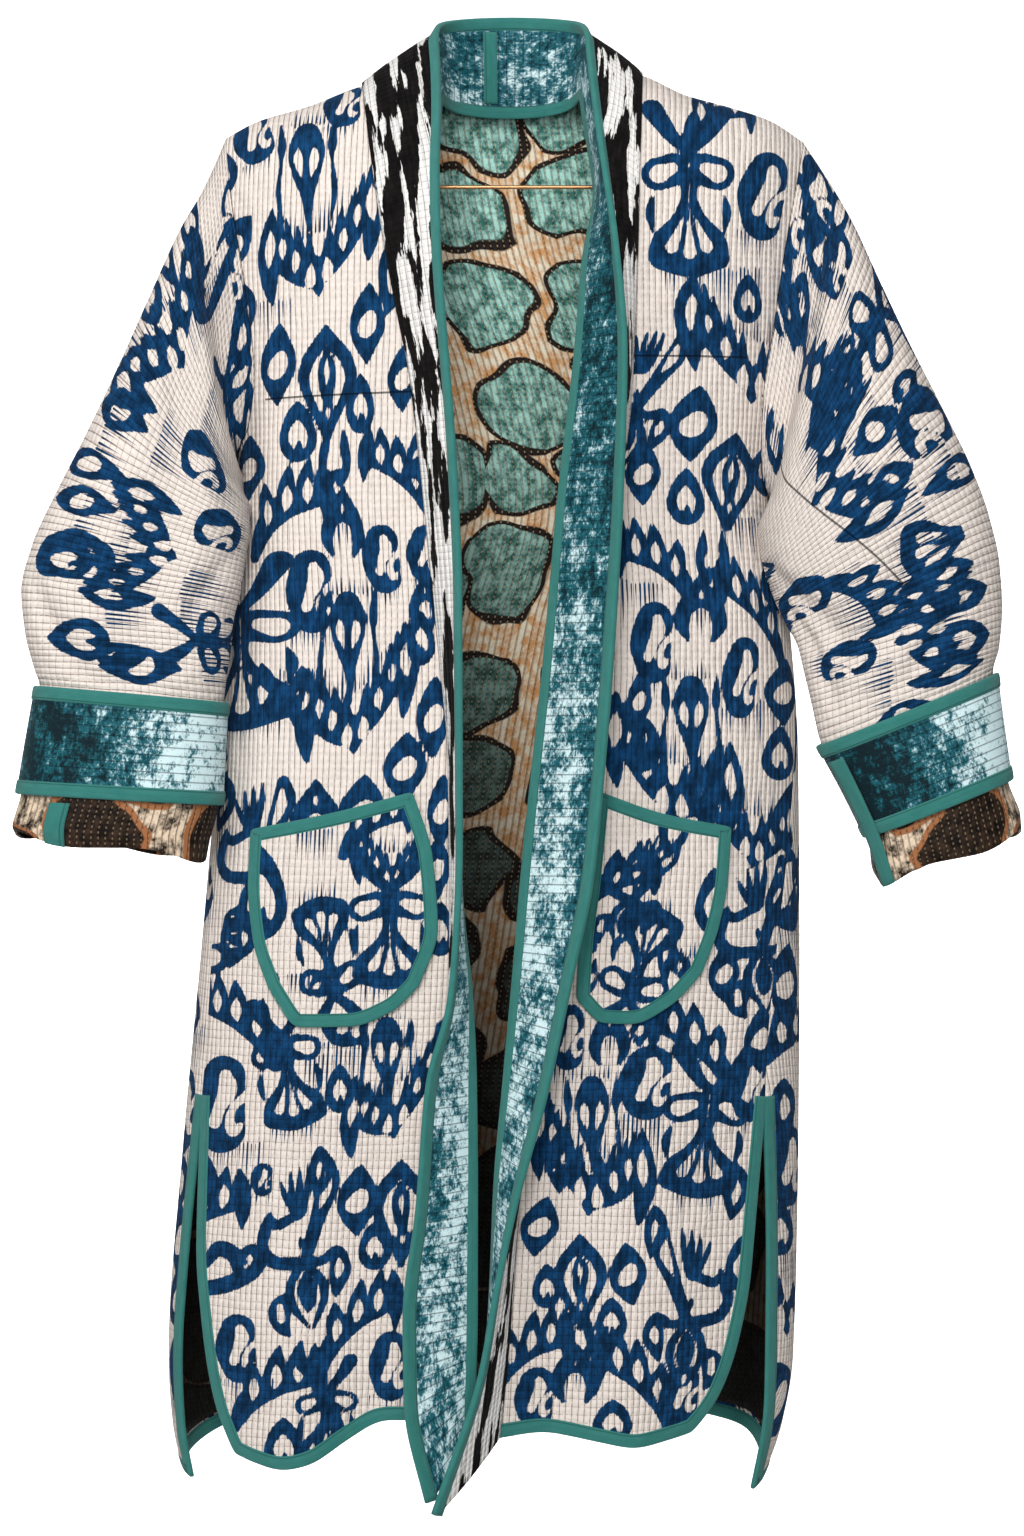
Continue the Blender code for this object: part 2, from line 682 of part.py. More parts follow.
# ---------------------------------------------------------------- sleeves and cuffs
def section(row, shares, square=0.9):
    """Closed section of an arm: from its outer edge over the front to its inner edge and
    back, as middle + cos^k * half chord, with the depth along y as sin^k."""
    outer_x, outer_z, inner_x, inner_z, y, depth = row
    cos = np.cos(2 * np.pi * shares)
    sin = np.sin(2 * np.pi * shares)
    cos = np.sign(cos) * np.abs(cos) ** square
    sin = np.sign(sin) * np.abs(sin) ** square
    points = np.empty((len(shares), 3))
    points[:, 0] = (outer_x + inner_x) / 2 + cos * (outer_x - inner_x) / 2
    points[:, 2] = (outer_z + inner_z) / 2 + cos * (outer_z - inner_z) / 2
    points[:, 1] = y - sin * depth
    return points


def tube_inward(grid):
    """Unit direction from a closed tube's outer points into its wall."""
    around = np.roll(grid, -1, axis=1) - np.roll(grid, 1, axis=1)
    along = np.gradient(grid, axis=0)
    normal = unit(np.cross(around, along))
    centre = grid.mean(axis=1, keepdims=True)
    inside = np.sum(normal * (centre - grid), axis=-1).mean() > 0
    return normal if inside else -normal


RING = 2 * ROWS_ARM
SHARES = np.arange(RING) / RING


def sections(rows):
    return np.stack([section(row, SHARES) for row in rows])


def inside_cuff(cuff, inward, share):
    """Ring at a share of a cuff's length, just inside its bindings' inner faces."""
    depth = CUFF / 2 + BINDING_THICK / 2 + 2 * SEAM_GAP
    at = share * (len(cuff) - 1)
    k = min(int(at), len(cuff) - 2)
    ring = cuff + inward * depth
    return ring[k] + (ring[k + 1] - ring[k]) * (at - k)


def creased(grid, inward, folds):
    """Presses valleys into a sleeve: depth * exp(-(angle off / half width)^2), fading to
    nothing at both ends of each."""
    pressed = grid.copy()
    angle = 360 * SHARES
    for line, half, depth in folds:
        for ring in range(1, len(grid)):
            share = (ring - line[0][0]) / (line[-1][0] - line[0][0])
            if 0 < share < 1:
                off = angle - smooth1(line, ring)
                fade = math.sqrt(math.sin(math.pi * share))
                valley = depth * fade * np.exp(-((off / half) ** 2))
                pressed[ring] += inward[ring] * valley[:, None]
    return pressed


def build_sleeve(name, rows, cuff, folds, front, front_inward, back, back_inward):
    """The sleeve starts on the body's armhole, clear of the body's rim all round, and its
    last two rings lie inside the cuff."""
    first = np.concatenate([front, back[-2:0:-1]])
    body_in = np.concatenate([front_inward, back_inward[-2:0:-1]])
    cuff = sections(cuff)
    tucked = [inside_cuff(cuff, tube_inward(cuff), share) for share in (0, CUFF_OVERLAP)]
    outer = np.concatenate([first[None], sections(rows), tucked])
    inward = tube_inward(outer)
    outer = creased(outer, inward, folds)
    inward = tube_inward(outer)
    step = unit(outer[1] - outer[0])
    lean = np.sum((body_in - inward[0]) * step, axis=1, keepdims=True)
    outer[0] += step * (2 * SEAM_GAP + CLOTH * np.maximum(lean, 0))
    inner = outer + inward * CLOTH
    raised = outer.copy()
    raised[1:-2:2] -= inward[1:-2:2] * QUILT_RISE
    wall(name, raised, inner, "ikat_cotton", closed=True)


def ring_binding(name, grid, inward, thick, end):
    """Binding round one end of a cuff; `end` is 0 for the upper edge and -1 for the lower."""
    beside = 1 if end == 0 else -2
    path = grid[end] + inward[end] * thick / 2
    across = unit(grid[beside] - grid[end])
    normal = -inward[end]
    normal = unit(normal - across * np.sum(normal * across, axis=1, keepdims=True))
    bar(name, path, across, normal, "teal_binding", closed=True)


def build_cuff(name, rows, ends, tab):
    outer = sections(rows)
    inward = tube_inward(outer)
    tucked = [inside_cuff(outer, inward, share) for share in (END_START, 1)]
    below = sections(ends)
    below[-1, :, 2] += END_WAVE * np.sin(2 * np.pi * END_WAVES * SHARES)
    end = np.concatenate([tucked, below])
    wall(f"sleeve_end_{name}", end, end + tube_inward(end) * CLOTH, "printed_lining", closed=True)
    build_tab(name, outer, end, tab)
    inner = outer + inward * CUFF
    ring_binding(f"cuff_upper_binding_{name}", outer, inward, CUFF, 0)
    ring_binding(f"cuff_lower_binding_{name}", outer, inward, CUFF, -1)
    bound = BINDING_WIDTH + SEAM_GAP
    draw_back(outer, inner, ((*TOP, bound), (*BOTTOM, bound)))
    wall(f"cuff_{name}", outer, inner, "teal_velvet", closed=True)


def at_place(grid, row_share, column):
    """Point of a grid at a share of its rows and a fractional column."""
    at = row_share * (len(grid) - 1)
    i = min(int(at), len(grid) - 2)
    j = int(column) % grid.shape[1]
    k = (j + 1) % grid.shape[1]
    edge = grid[i] + (grid[i + 1] - grid[i]) * (at - i)
    return edge[j] + (edge[k] - edge[j]) * (column - int(column))


def build_tab(name, cuff, end, tab):
    """A flat strip of binding down the cuff's front, over its lower binding, to the edge of
    the turned lining."""
    over = (BINDING_THICK - CUFF) / 2 + tab["lift"]
    under = []
    for column in np.linspace(*tab["columns"], 3):
        line = [at_place(cuff - tube_inward(cuff) * over, share, column) for share in tab["cuff"]]
        line += [at_place(end - tube_inward(end) * tab["lift"], share, column)
                 for share in tab["end"]]
        under.append(line)
    under = np.swapaxes(np.array(under), 0, 1)
    wide = np.cross(np.gradient(under, axis=1), np.gradient(under, axis=0))
    away = unit(wide)
    middle = np.concatenate([cuff, end]).mean(axis=(0, 1))
    away *= np.sign(np.sum(away * (under - middle), axis=-1).mean())
    wall(f"cuff_tab_{name}", under + away * TAB_THICK, under, "teal_binding")


# ---------------------------------------------------------------- band and facing
def band_stations(left, right, back):
    """Seam, free edge and inner edge of the front band, from the left hem up, round the
    back of the neck and down to the right hem."""
    keep = [i for i in range(LAST_ROW, -1, -1) if i != SLIT_ROW]
    left_seam = left["seam"][keep]
    left_rows = smooth(BAND_LEFT, left_seam[:, 2])
    right_seam = right["seam"][keep[::-1]]
    right_rows = smooth(BAND_RIGHT, right_seam[:, 2])
    neck = back["neck"][1:-1]
    turn = np.arange(1, len(neck) + 1) / (len(neck) + 1)
    arc = np.sin(np.pi * turn)[:, None] ** 0.7
    level = left_rows[-1] + (right_rows[0] - left_rows[-1]) * ((1 - np.cos(np.pi * turn)) / 2)[:, None]
    target = np.array([*NECK_BACK["free"], *NECK_BACK["inner"]], float)
    target = np.tile(target, (len(neck), 1))
    target[:, [0, 3]] = level[:, [0, 3]]
    neck_rows = level + (target - level) * arc
    seam = np.concatenate([left_seam, neck, right_seam])
    seam -= BAND_RAISE * np.concatenate([
        left["seam_inward"][keep], back["neck_inward"][1:-1], right["seam_inward"][keep[::-1]]])
    rows = np.concatenate([left_rows, neck_rows, right_rows])
    return seam, rows[:, :3], rows[:, 3:]


def strip(start, stop, side, bow, cells, thick):
    """Wall across a strip: quadratic from start to stop, bowed towards `side`."""
    t = np.linspace(0, 1, cells + 1)[None, :, None]
    middle = (start + stop) / 2 + side * bow
    grid = (1 - t) ** 2 * start[:, None] + 2 * t * (1 - t) * middle[:, None] + t**2 * stop[:, None]
    along = np.gradient(grid, axis=0)
    across = np.gradient(grid, axis=1)
    normal = unit(np.cross(along, across))
    facing_side = np.sum(normal * side[:, None], axis=-1, keepdims=True)
    normal = normal * np.sign(facing_side)
    return grid + normal * thick / 2, grid - normal * thick / 2


def build_band(left, right, back):
    seam, free, inner = band_stations(left, right, back)
    along = unit(np.gradient(free, axis=0))
    across = unit((seam + inner) / 2 - free)
    across = unit(across - along * np.sum(across * along, axis=1, keepdims=True))
    side = np.cross(along, across)
    side *= np.sign(np.sum(side * (seam - inner), axis=1, keepdims=True))
    side = unit(side)
    bar("edge_binding", free, across, side, "teal_binding", width=BINDING_WIDTH,
        thick=BINDING_THICK + 1.0)
    hold = free + across * (BINDING_WIDTH + 5 * SEAM_GAP)
    lift = BAND / 2 + SEAM_GAP / 2
    start = seam + unit(hold - seam) * BAND_START
    outer, under = strip(start, hold + side * lift, side, 4.0, 3, BAND)
    wall("front_band", outer, under, "black_white_ikat")
    turn = unit(hold - inner)
    inner_side = side - turn * np.sum(side * turn, axis=1, keepdims=True)
    bar("facing_binding", inner, turn, unit(inner_side), "teal_binding", thick=3.0)
    begin = inner + turn * (BINDING_WIDTH + 4 * SEAM_GAP)
    outer, under = strip(begin, hold - side * lift, -side, 3.0, 3, BAND)
    wall("band_facing", outer, under, "teal_velvet")
    return free, inner, side


def build_neck_strip(free, inner, side):
    """Upright strip of binding on the facing at the back of the neck."""
    count = len(free)
    at = count // 2 - 1
    share = 0.72
    top = free[at] * share + free[at + 1] * (1 - share)
    foot = inner[at] * share + inner[at + 1] * (1 - share)
    down = unit(foot - top)
    length = np.linalg.norm(foot - top)
    lift = -side[at] * STRIP_LIFT
    marks = np.linspace(BINDING_WIDTH + 1, length - BINDING_WIDTH - 1, 4)
    path = top + lift + down * marks[:, None]
    normal = np.tile(-side[at], (len(path), 1))
    across = np.cross(np.tile(down, (len(path), 1)), normal)
    bar("neck_strip", path, unit(across), normal, "teal_binding", thick=1.6)


# ---------------------------------------------------------------- pockets and bar
def build_pocket(name, pocket):
    columns, rows = POCKET_CELLS
    u = np.linspace(0, 1, columns + 1)
    v = np.linspace(0, 1, rows + 1)
    first, second = ("inner", "outer") if pocket["top"][0][0] == pocket["inner"][0][1] else \
        ("outer", "inner")
    top_x = pocket["top"][0][0] + (pocket["top"][-1][0] - pocket["top"][0][0]) * u
    low_x = pocket["bottom"][0][0] + (pocket["bottom"][-1][0] - pocket["bottom"][0][0]) * u
    top = np.stack([top_x, smooth1(pocket["top"], top_x)], axis=1)
    low = np.stack([low_x, smooth1(pocket["bottom"], low_x)], axis=1)

    def side_line(rows_of):
        z = rows_of[0][0] + (rows_of[-1][0] - rows_of[0][0]) * v
        return np.stack([smooth1(rows_of, z), z], axis=1)

    a, b = side_line(pocket[first]), side_line(pocket[second])
    uu, vv = u[None, :, None], v[:, None, None]
    plan = (
        (1 - vv) * top[None] + vv * low[None] + (1 - uu) * a[:, None] + uu * b[:, None]
        - (1 - uu) * (1 - vv) * top[0] - uu * (1 - vv) * top[-1]
        - (1 - uu) * vv * low[0] - uu * vv * low[-1]
    )
    x, z = plan[..., 0], plan[..., 1]
    angle = body_angle(x.ravel(), z.ravel()).reshape(x.shape)
    skin = body_point(angle, z)
    inward = body_inward(angle, z)
    clear = QUILT_RISE + pocket["lift"]
    inner = skin - inward * clear
    outer = skin - inward * (clear + CLOTH)
    middle = (inner + outer) / 2
    loop = [(0, j) for j in range(columns)] + [(i, columns) for i in range(rows)]
    loop += [(rows, j) for j in range(columns, 0, -1)] + [(i, 0) for i in range(rows, 0, -1)]
    edge = np.array([middle[i, j] for i, j in loop])
    lift = np.array([-inward[i, j] for i, j in loop])
    along = unit(np.roll(edge, -1, axis=0) - np.roll(edge, 1, axis=0))
    across = unit(np.cross(along, lift))
    across *= np.sign(np.sum(across * (middle.mean(axis=(0, 1)) - edge), axis=1, keepdims=True))
    bar(f"pocket_binding_{name}", edge, across, lift, "teal_binding", closed=True, thick=3.0)
    bound = BINDING_WIDTH + SEAM_GAP
    draw_back(outer, inner, [(*rim, bound) for rim in (TOP, BOTTOM, START, END)])
    for grid in (outer, inner):
        for corner, near, beyond in CORNERS:
            grid[near] = (grid[corner] + grid[beyond]) / 2
    wall(f"pocket_{name}", outer, inner, "ikat_cotton")


def build_bar():
    """Straight wire with ends that turn up and run back just under the shoulders."""
    points = []
    for sign, out, start in ((-1, -196, -120), (1, 190, 100)):
        arm = [(x, float(smooth1(SHOULDER, x)[0]) - BAR_DROP) for x in np.linspace(start, out, 6)]
        elbow = arm[-1][1]
        foot = [(out + sign * 5, elbow * 0.6), (out, elbow * 0.15), (out - sign * 10, 0.0)]
        points.append(arm + foot)
    route = points[0] + points[1][::-1]
    curve = bpy.data.curves.new("hanger_bar", "CURVE")
    curve.dimensions = "3D"
    curve.bevel_depth = BAR_RADIUS * MM
    curve.bevel_resolution = 1
    curve.use_fill_caps = True
    line = curve.splines.new("POLY")
    line.points.add(len(route) - 1)
    for point, (x, z) in zip(line.points, route):
        point.co = (x * MM, 0.0, z * MM, 1.0)
    made = bpy.data.objects.new("hanger_bar", curve)
    made.data.materials.append(material("copper_wire"))
    bpy.data.collections["chapan_robe"].objects.link(made)


def main():
    clear_scene()
    group = bpy.data.collections.new("chapan_robe")
    bpy.context.scene.collection.children.link(group)
    left = build_front(LEFT, "left")
    right = build_front(RIGHT, "right")
    back = build_back(left, right)
    build_sleeve("sleeve_left", SLEEVE_LEFT, CUFF_LEFT, SLEEVE_FOLDS_LEFT, left["armhole"],
                 left["armhole_inward"], back["left"], back["left_inward"])
    build_sleeve("sleeve_right", SLEEVE_RIGHT, CUFF_RIGHT, SLEEVE_FOLDS_RIGHT,
                 right["armhole"], right["armhole_inward"], back["right"], back["right_inward"])
    build_cuff("left", CUFF_LEFT, END_LEFT, TAB_LEFT)
    build_cuff("right", CUFF_RIGHT, END_RIGHT, TAB_RIGHT)
    free, inner, side = build_band(left, right, back)
    build_neck_strip(free, inner, side)
    build_pocket("left", POCKET_LEFT)
    build_pocket("right", POCKET_RIGHT)
    build_bar()


main()
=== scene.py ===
"""Quilted open-fronted robe of warp-dyed cotton, bound in teal and hung on a thin bar."""
import functools
import math

import bpy
import numpy as np
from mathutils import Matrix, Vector


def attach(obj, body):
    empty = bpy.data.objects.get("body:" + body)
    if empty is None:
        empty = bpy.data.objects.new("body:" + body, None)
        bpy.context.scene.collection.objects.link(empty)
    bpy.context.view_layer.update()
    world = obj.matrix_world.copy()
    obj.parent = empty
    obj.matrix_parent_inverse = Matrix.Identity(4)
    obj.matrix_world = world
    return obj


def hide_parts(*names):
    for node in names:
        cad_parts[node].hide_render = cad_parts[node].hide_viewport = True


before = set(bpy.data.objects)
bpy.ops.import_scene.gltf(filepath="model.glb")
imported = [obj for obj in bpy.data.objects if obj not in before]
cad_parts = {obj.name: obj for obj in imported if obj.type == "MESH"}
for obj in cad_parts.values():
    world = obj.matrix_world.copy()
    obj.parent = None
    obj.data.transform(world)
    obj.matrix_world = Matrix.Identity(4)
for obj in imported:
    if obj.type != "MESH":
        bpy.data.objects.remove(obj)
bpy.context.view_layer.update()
scene = bpy.context.scene
MM = 0.001


# ================================================================ left and right fronts
# Each front is one panel of quilted warp-dyed cotton from the shoulder fold to a rounded
# hem, sewn to the back at shoulder, armhole and side and open below, its edges bound.

# Fronts and back lie on one hollow, squarish tube that rounds over at the shoulders: each
# is a grid of points on it. Millimetres; x is the viewer's right, fronts face -y, z is up.
CLOTH = 2.4            # quilted panel
RIDGE_ROUND = 60.0     # drop over which the shoulder fold rounds off
SQUARENESS = 0.87      # 1 gives an elliptic body section, less gives a squarer one
SLIT_TOP = -705.0
BODY = (
    # z, left x, right x, front depth, back depth
    (90, -246, 236, 66, 62), (-30, -240, 222, 80, 70), (-150, -224, 204, 86, 76),
    (-240, -219, 194, 88, 78), (-340, -227, 210, 88, 80), (-450, -236, 217, 87, 80),
    (-600, -249, 218, 87, 82), (-750, -263, 217, 88, 84), (-910, -274, 213, 90, 86),
    (-960, -271, 205, 90, 86), (-1020, -257, 184, 88, 84),
)
SHOULDER = (
    # x, z of the fold that the back neck is cut out of
    (-240, 32), (-229, 38), (-203, 51), (-165, 62), (-122, 78), (-8, 102), (94, 86),
    (128, 71), (161, 62), (193, 52), (221, 35), (232, 28),
)
FOLDS = (
    # centre x, half width, stands out, start z: soft upright folds that grow to the hem
    (-176, 34, 12, -560), (-118, 26, -9, -640), (86, 40, 10, -600), (22, 26, -7, -700),
    (160, 26, -8, -620), (-205, 40, 8, 420),
)
LEFT = {
    "sign": -1, "neck": (-122, 78), "shoulder": (-229, 38), "underarm": -212,
    "seam": ((78, -122), (-6, -111), (-60, -102), (-107, -93), (-151, -84), (-225, -75),
             (-326, -65), (-402, -57), (-440, -54), (-600, -52), (-688, -56), (-779, -62),
             (-860, -68), (-946, -69)),
    "armhole": ((38, -229), (-16, -222), (-93, -210), (-150, -204), (-190, -209), (-212, -223)),
    "slit": ((-705, -245), (-824, -248), (-871, -244), (-908, -239), (-943, -231), (-972, -218)),
    "hem": ((-231, -972), (-218, -974), (-202, -979), (-181, -983), (-160, -979), (-132, -962),
            (-101, -946), (-60, -945)),
    "back_slit": ((-705, -245), (-830, -258), (-912, -263), (-960, -261), (-1003, -254)),
}
RIGHT = {
    "sign": 1, "neck": (94, 86), "shoulder": (221, 35), "underarm": -247,
    "seam": ((86, 94), (36, 92), (-18, 90), (-95, 87), (-175, 83), (-251, 72), (-364, 53),
             (-477, 36), (-591, 21), (-689, 9), (-780, -2), (-830, -5), (-896, -10), (-959, -16)),
    "armhole": ((35, 221), (-31, 208), (-108, 196), (-185, 186), (-225, 186), (-247, 195)),
    "slit": ((-705, 188), (-816, 178), (-847, 175), (-883, 168), (-911, 160), (-937, 148),
             (-957, 131)),
    "hem": ((-20, -959), (16, -955), (40, -958), (63, -962), (87, -966), (110, -962),
            (131, -957), (150, -950)),
    "back_slit": ((-705, 188), (-826, 191), (-943, 190), (-1014, 180)),
}


def smooth(rows, at):
    """Values of a table at `at`: a cubic through its rows that never overshoots them."""
    table = np.asarray(rows, float)
    if table[0, 0] > table[-1, 0]:
        table = table[::-1]
    x, y = table[:, 0], table[:, 1:]
    step = np.diff(x)[:, None]
    rise = np.diff(y, axis=0) / step
    slope = np.zeros_like(y)
    same = rise[1:] * rise[:-1] > 0
    mean = 2 * rise[1:] * rise[:-1] / np.where(same, rise[1:] + rise[:-1], 1.0)
    slope[1:-1] = np.where(same, mean, 0.0)
    slope[0], slope[-1] = rise[0], rise[-1]
    at = np.clip(np.atleast_1d(np.asarray(at, float)), x[0], x[-1])
    k = np.clip(np.searchsorted(x, at) - 1, 0, len(x) - 2)
    h = step[k]
    t = (at - x[k])[:, None] / h
    return ((2 * t**3 - 3 * t**2 + 1) * y[k] + (t**3 - 2 * t**2 + t) * h * slope[k]
            + (3 * t**2 - 2 * t**3) * y[k + 1] + (t**3 - t**2) * h * slope[k + 1])


def smooth1(rows, at):
    """The first value column of a table, in the shape of `at`."""
    at = np.asarray(at, float)
    return smooth(rows, at.ravel())[:, 0].reshape(at.shape)


def unit(v):
    """Vectors scaled to length 1."""
    return v / np.maximum(np.linalg.norm(v, axis=-1, keepdims=True), 1e-9)


def squared(value, power):
    """A sine or cosine to a power with its sign kept, which squares a curve below 1."""
    return np.sign(value) * np.abs(value) ** power


def together(*coordinates):
    """Arrays of coordinates, broadcast, as one array of points."""
    return np.stack(np.broadcast_arrays(*coordinates), axis=-1)


def run_along(points, axis=0):
    """Distance from the first point, along one axis of a grid of points."""
    run = np.cumsum(np.linalg.norm(np.diff(points, axis=axis), axis=-1), axis=axis)
    return np.concatenate([0 * np.take(run, [0], axis=axis), run], axis=axis)


def grid_normal(grid):
    """Unit directions that stand on a grid of points."""
    return unit(np.cross(np.gradient(grid, axis=0), np.gradient(grid, axis=1)))


def body_angle(x, z):
    """Angle round the front half of the section at height z, 0 at its middle, at this x."""
    left, right = smooth1([r[:2] for r in BODY], z), smooth1([(r[0], r[2]) for r in BODY], z)
    share = np.clip((x - (left + right) / 2) / ((right - left) / 2), -1, 1)
    return np.degrees(np.arcsin(squared(share, 1 / SQUARENESS)))


def body_point(angle, z):
    """x = middle + half width * sin^k(angle), y = -depth * cos^k(angle), with the depth
    falling to nothing over the top RIDGE_ROUND of the shoulder fold."""
    angle, z = np.broadcast_arrays(np.radians(np.asarray(angle, float)), np.asarray(z, float))
    shape = angle.shape
    angle, z = angle.ravel(), z.ravel()
    left, right, front, back = smooth(BODY, z).T
    across, along = squared(np.sin(angle), SQUARENESS), squared(np.cos(angle), SQUARENESS)
    x = (left + right) / 2 + (right - left) / 2 * across
    drop = np.clip(smooth1(SHOULDER, x) - z, 0, RIDGE_ROUND)
    rounded = np.sqrt(1 - (1 - drop / RIDGE_ROUND) ** 2)
    depth = np.where(along > 0, front, back)
    swell = np.zeros_like(x)
    for centre, half, out, start in FOLDS:
        grow = np.clip((start - z) / (start + 960), 0, 1)
        swell += out * grow * np.exp(-(((x - centre) / half) ** 2)) * np.abs(along) ** 0.5
    y = -along * (depth + swell) * rounded
    return together(x, y, z).reshape(*shape, 3)


def body_inward(angle, z):
    """Unit direction from the outer surface into the cloth."""
    around = body_point(angle + 0.05, z) - body_point(angle - 0.05, z)
    down = body_point(angle, z - 0.05) - body_point(angle, z)
    return unit(np.cross(around, down))


# length of cloth round a section of half width 1, at each degree of the angle
SECTION_DEPTH = 0.41
TURN = np.radians(np.arange(-300, 301))
SECTION = together(squared(np.sin(TURN), SQUARENESS),
                   -SECTION_DEPTH * squared(np.cos(TURN), SQUARENESS))
RUN = run_along(SECTION)
RUN -= np.interp(0, TURN, RUN)


def body_cloth(angle, z):
    """Place in the cloth: millimetres round the body from its front middle, and down."""
    half = smooth1([(r[0], r[2] - r[1]) for r in BODY], z) / 2
    return together(half * np.interp(np.radians(angle), TURN, RUN), -z)


def edge_angle(side, z, slit):
    """Angle of a panel's outer edge: the armhole, then the side seam, then the open slit."""
    under = side["underarm"]
    armhole = body_angle(smooth1(side["armhole"], z), z)
    at_slit = body_angle(np.array([side["slit"][0][1]]), np.array([SLIT_TOP]))[0]
    share = np.clip((under - z) / (under - SLIT_TOP), 0, 1)
    share = share * share * (3 - 2 * share)
    seam = side["sign"] * 90 + (at_slit - side["sign"] * 90) * share
    open_edge = body_angle(smooth1(side[slit], z), z)
    return np.where(z >= under, armhole, np.where(z >= SLIT_TOP, seam, open_edge))


ARM, SIDE, SLIT = 90, 150, 96      # rows from shoulder to underarm, to the slit, to the hem


def row_heights(top, under, bottom):
    """Heights of a panel's rows between its top, underarm, slit and bottom lines."""
    arm = [top + (under - top) * (i / ARM) ** 1.25 for i in range(ARM)]
    side = [under + (SLIT_TOP - under) * i / SIDE + 0 * top for i in range(SIDE)]
    slit = [SLIT_TOP + (bottom - SLIT_TOP) * i / SLIT for i in range(SLIT + 1)]
    return np.array(arm + side + slit)


def softened(edge, z):
    """An edge's angle averaged over 160 mm of height, which the inner columns follow."""
    return np.mean([edge(z + step) for step in range(-80, 81, 20)], axis=0)


def front_grid(side, columns):
    """Angles and heights of a front, from the band's seam out to its edge."""
    u = np.linspace(0, 1, columns + 1)

    def outer_edge(z):
        """Angle of the outer edge."""
        return edge_angle(side, z, "slit")

    def across(z):
        """Angles of one row: evenly from seam to softened edge, then out to the edge."""
        seam = body_angle(smooth1(side["seam"], z), z)
        edge, soft = outer_edge(z), softened(outer_edge, z)
        return seam + (soft - seam) * u + (edge - soft) * u**5

    top = side["neck"][1] + (side["shoulder"][1] - side["neck"][1]) * u
    bottom = np.full_like(u, side["hem"][0][1])
    for _ in range(12):
        top = smooth1(SHOULDER, body_point(across(top), top)[:, 0])
        bottom = smooth1(side["hem"], body_point(across(bottom), bottom)[:, 0])
    heights = row_heights(top, side["underarm"], bottom)
    return np.array([across(z) for z in heights]), heights


def grid_mesh(name, points):
    """A mesh of quads over a grid of points in millimetres."""
    rows, columns = points.shape[:2]
    i, j = np.meshgrid(np.arange(rows - 1), np.arange(columns - 1), indexing="ij")
    first = i * columns + j
    quads = np.stack([first, first + 1, first + columns + 1, first + columns], axis=-1)
    mesh = bpy.data.meshes.new(name)
    mesh.vertices.add(rows * columns)
    mesh.vertices.foreach_set("co", (points.reshape(-1, 3) * MM).astype(np.float32).ravel())
    mesh.loops.add(quads.size)
    mesh.loops.foreach_set("vertex_index", quads.astype(np.int32).ravel())
    mesh.polygons.add(quads.size // 4)
    mesh.polygons.foreach_set("loop_start", np.arange(0, quads.size, 4, dtype=np.int32))
    mesh.update(calc_edges=True)
    mesh.shade_smooth()
    return mesh


def cloth_piece(name, points, cad, material, cloth, out, fields=(), thick=0.0):
    """Adds one grid of cloth whose faces point along `out`: `cloth` is each point's place in
    the flat cloth, `fields` are its drawn patterns and `thick` the wall behind its face."""
    turn = slice(None, None, -1 if np.sum(grid_normal(points) * out) > 0 else 1)
    points, cloth = points[:, turn], cloth[:, turn]
    mesh = grid_mesh(name, points)
    place = mesh.attributes.new("cloth", "FLOAT_VECTOR", "POINT")
    flat = np.concatenate([cloth, np.zeros((*cloth.shape[:2], 1))], axis=-1)
    place.data.foreach_set("vector", (flat * MM).astype(np.float32).ravel())
    for key, values in dict(fields).items():
        drawn = mesh.attributes.new(key, "FLOAT", "POINT")
        drawn.data.foreach_set("value", values[:, turn].astype(np.float32).ravel())
    mesh.materials.append(material)
    made = bpy.data.objects.new(name, mesh)
    scene.collection.objects.link(made)
    if thick:
        wall = made.modifiers.new("wall", "SOLIDIFY")
        wall.thickness, wall.offset = thick * MM, -1.0
    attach(made, "root")
    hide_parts(cad)
    return made


def srgb(text):
    """Linear colour of an sRGB hex triple."""
    parts = [int(text[i:i + 2], 16) / 255 for i in (0, 2, 4)]
    return (*[c / 12.92 if c <= 0.04045 else ((c + 0.055) / 1.055) ** 2.4 for c in parts], 1.0)


# each kind of shader node: its main setting, its output, and its inputs in the order given
NODE_KINDS = {
    "Attribute": ("attribute_name", 2, ()),
    "Bump": ("", 0, ("Height", "Distance", "Strength")),
    "CombineXYZ": ("", 0, (0, 1)),
    "MapRange": ("interpolation_type", 0, (0, 1, 2, 3, 4)),
    "Math": ("operation", 0, (0, 1, 2)),
    "Mix": ("data_type", 2, (0, 6, 7)),
    "SeparateXYZ": ("", 0, (0,)),
    "TexNoise": ("noise_dimensions", 0, ("Vector", "Scale", "Detail", "Roughness")),
    "TexVoronoi": ("feature", 0, ("Vector", "Scale", "Randomness")),
    "TexWhiteNoise": ("noise_dimensions", 0, ("W",)),
    "VectorMath": ("operation", 0, (0, 1, 2)),
}
RAMP, MIX, SHINE = "MapRange SMOOTHSTEP", "Mix RGBA", "Specular IOR Level"


def fill(tree, sockets, values):
    """Gives sockets their constants and their links."""
    for key, value in values.items():
        if isinstance(value, bpy.types.NodeSocket):
            tree.links.new(value, sockets[key])
        else:
            sockets[key].default_value = value


def node(tree, kind, *inputs, out=None, **settings):
    """Adds a node and gives its output. Its kind, such as "Math ADD", may say its main
    setting too; its inputs are constants or outputs."""
    kind, *main = kind.split()
    setting, output, sockets = NODE_KINDS[kind]
    made = tree.nodes.new("ShaderNode" + kind)
    for key, value in (*zip([setting], main), *settings.items()):
        setattr(made, key, value)
    fill(tree, made.inputs, dict(zip(sockets, inputs)))
    return made.outputs[output if out is None else out]


def new_material(name):
    """An empty material with its surface."""
    made = bpy.data.materials.new(name)
    made.use_nodes = True
    return made


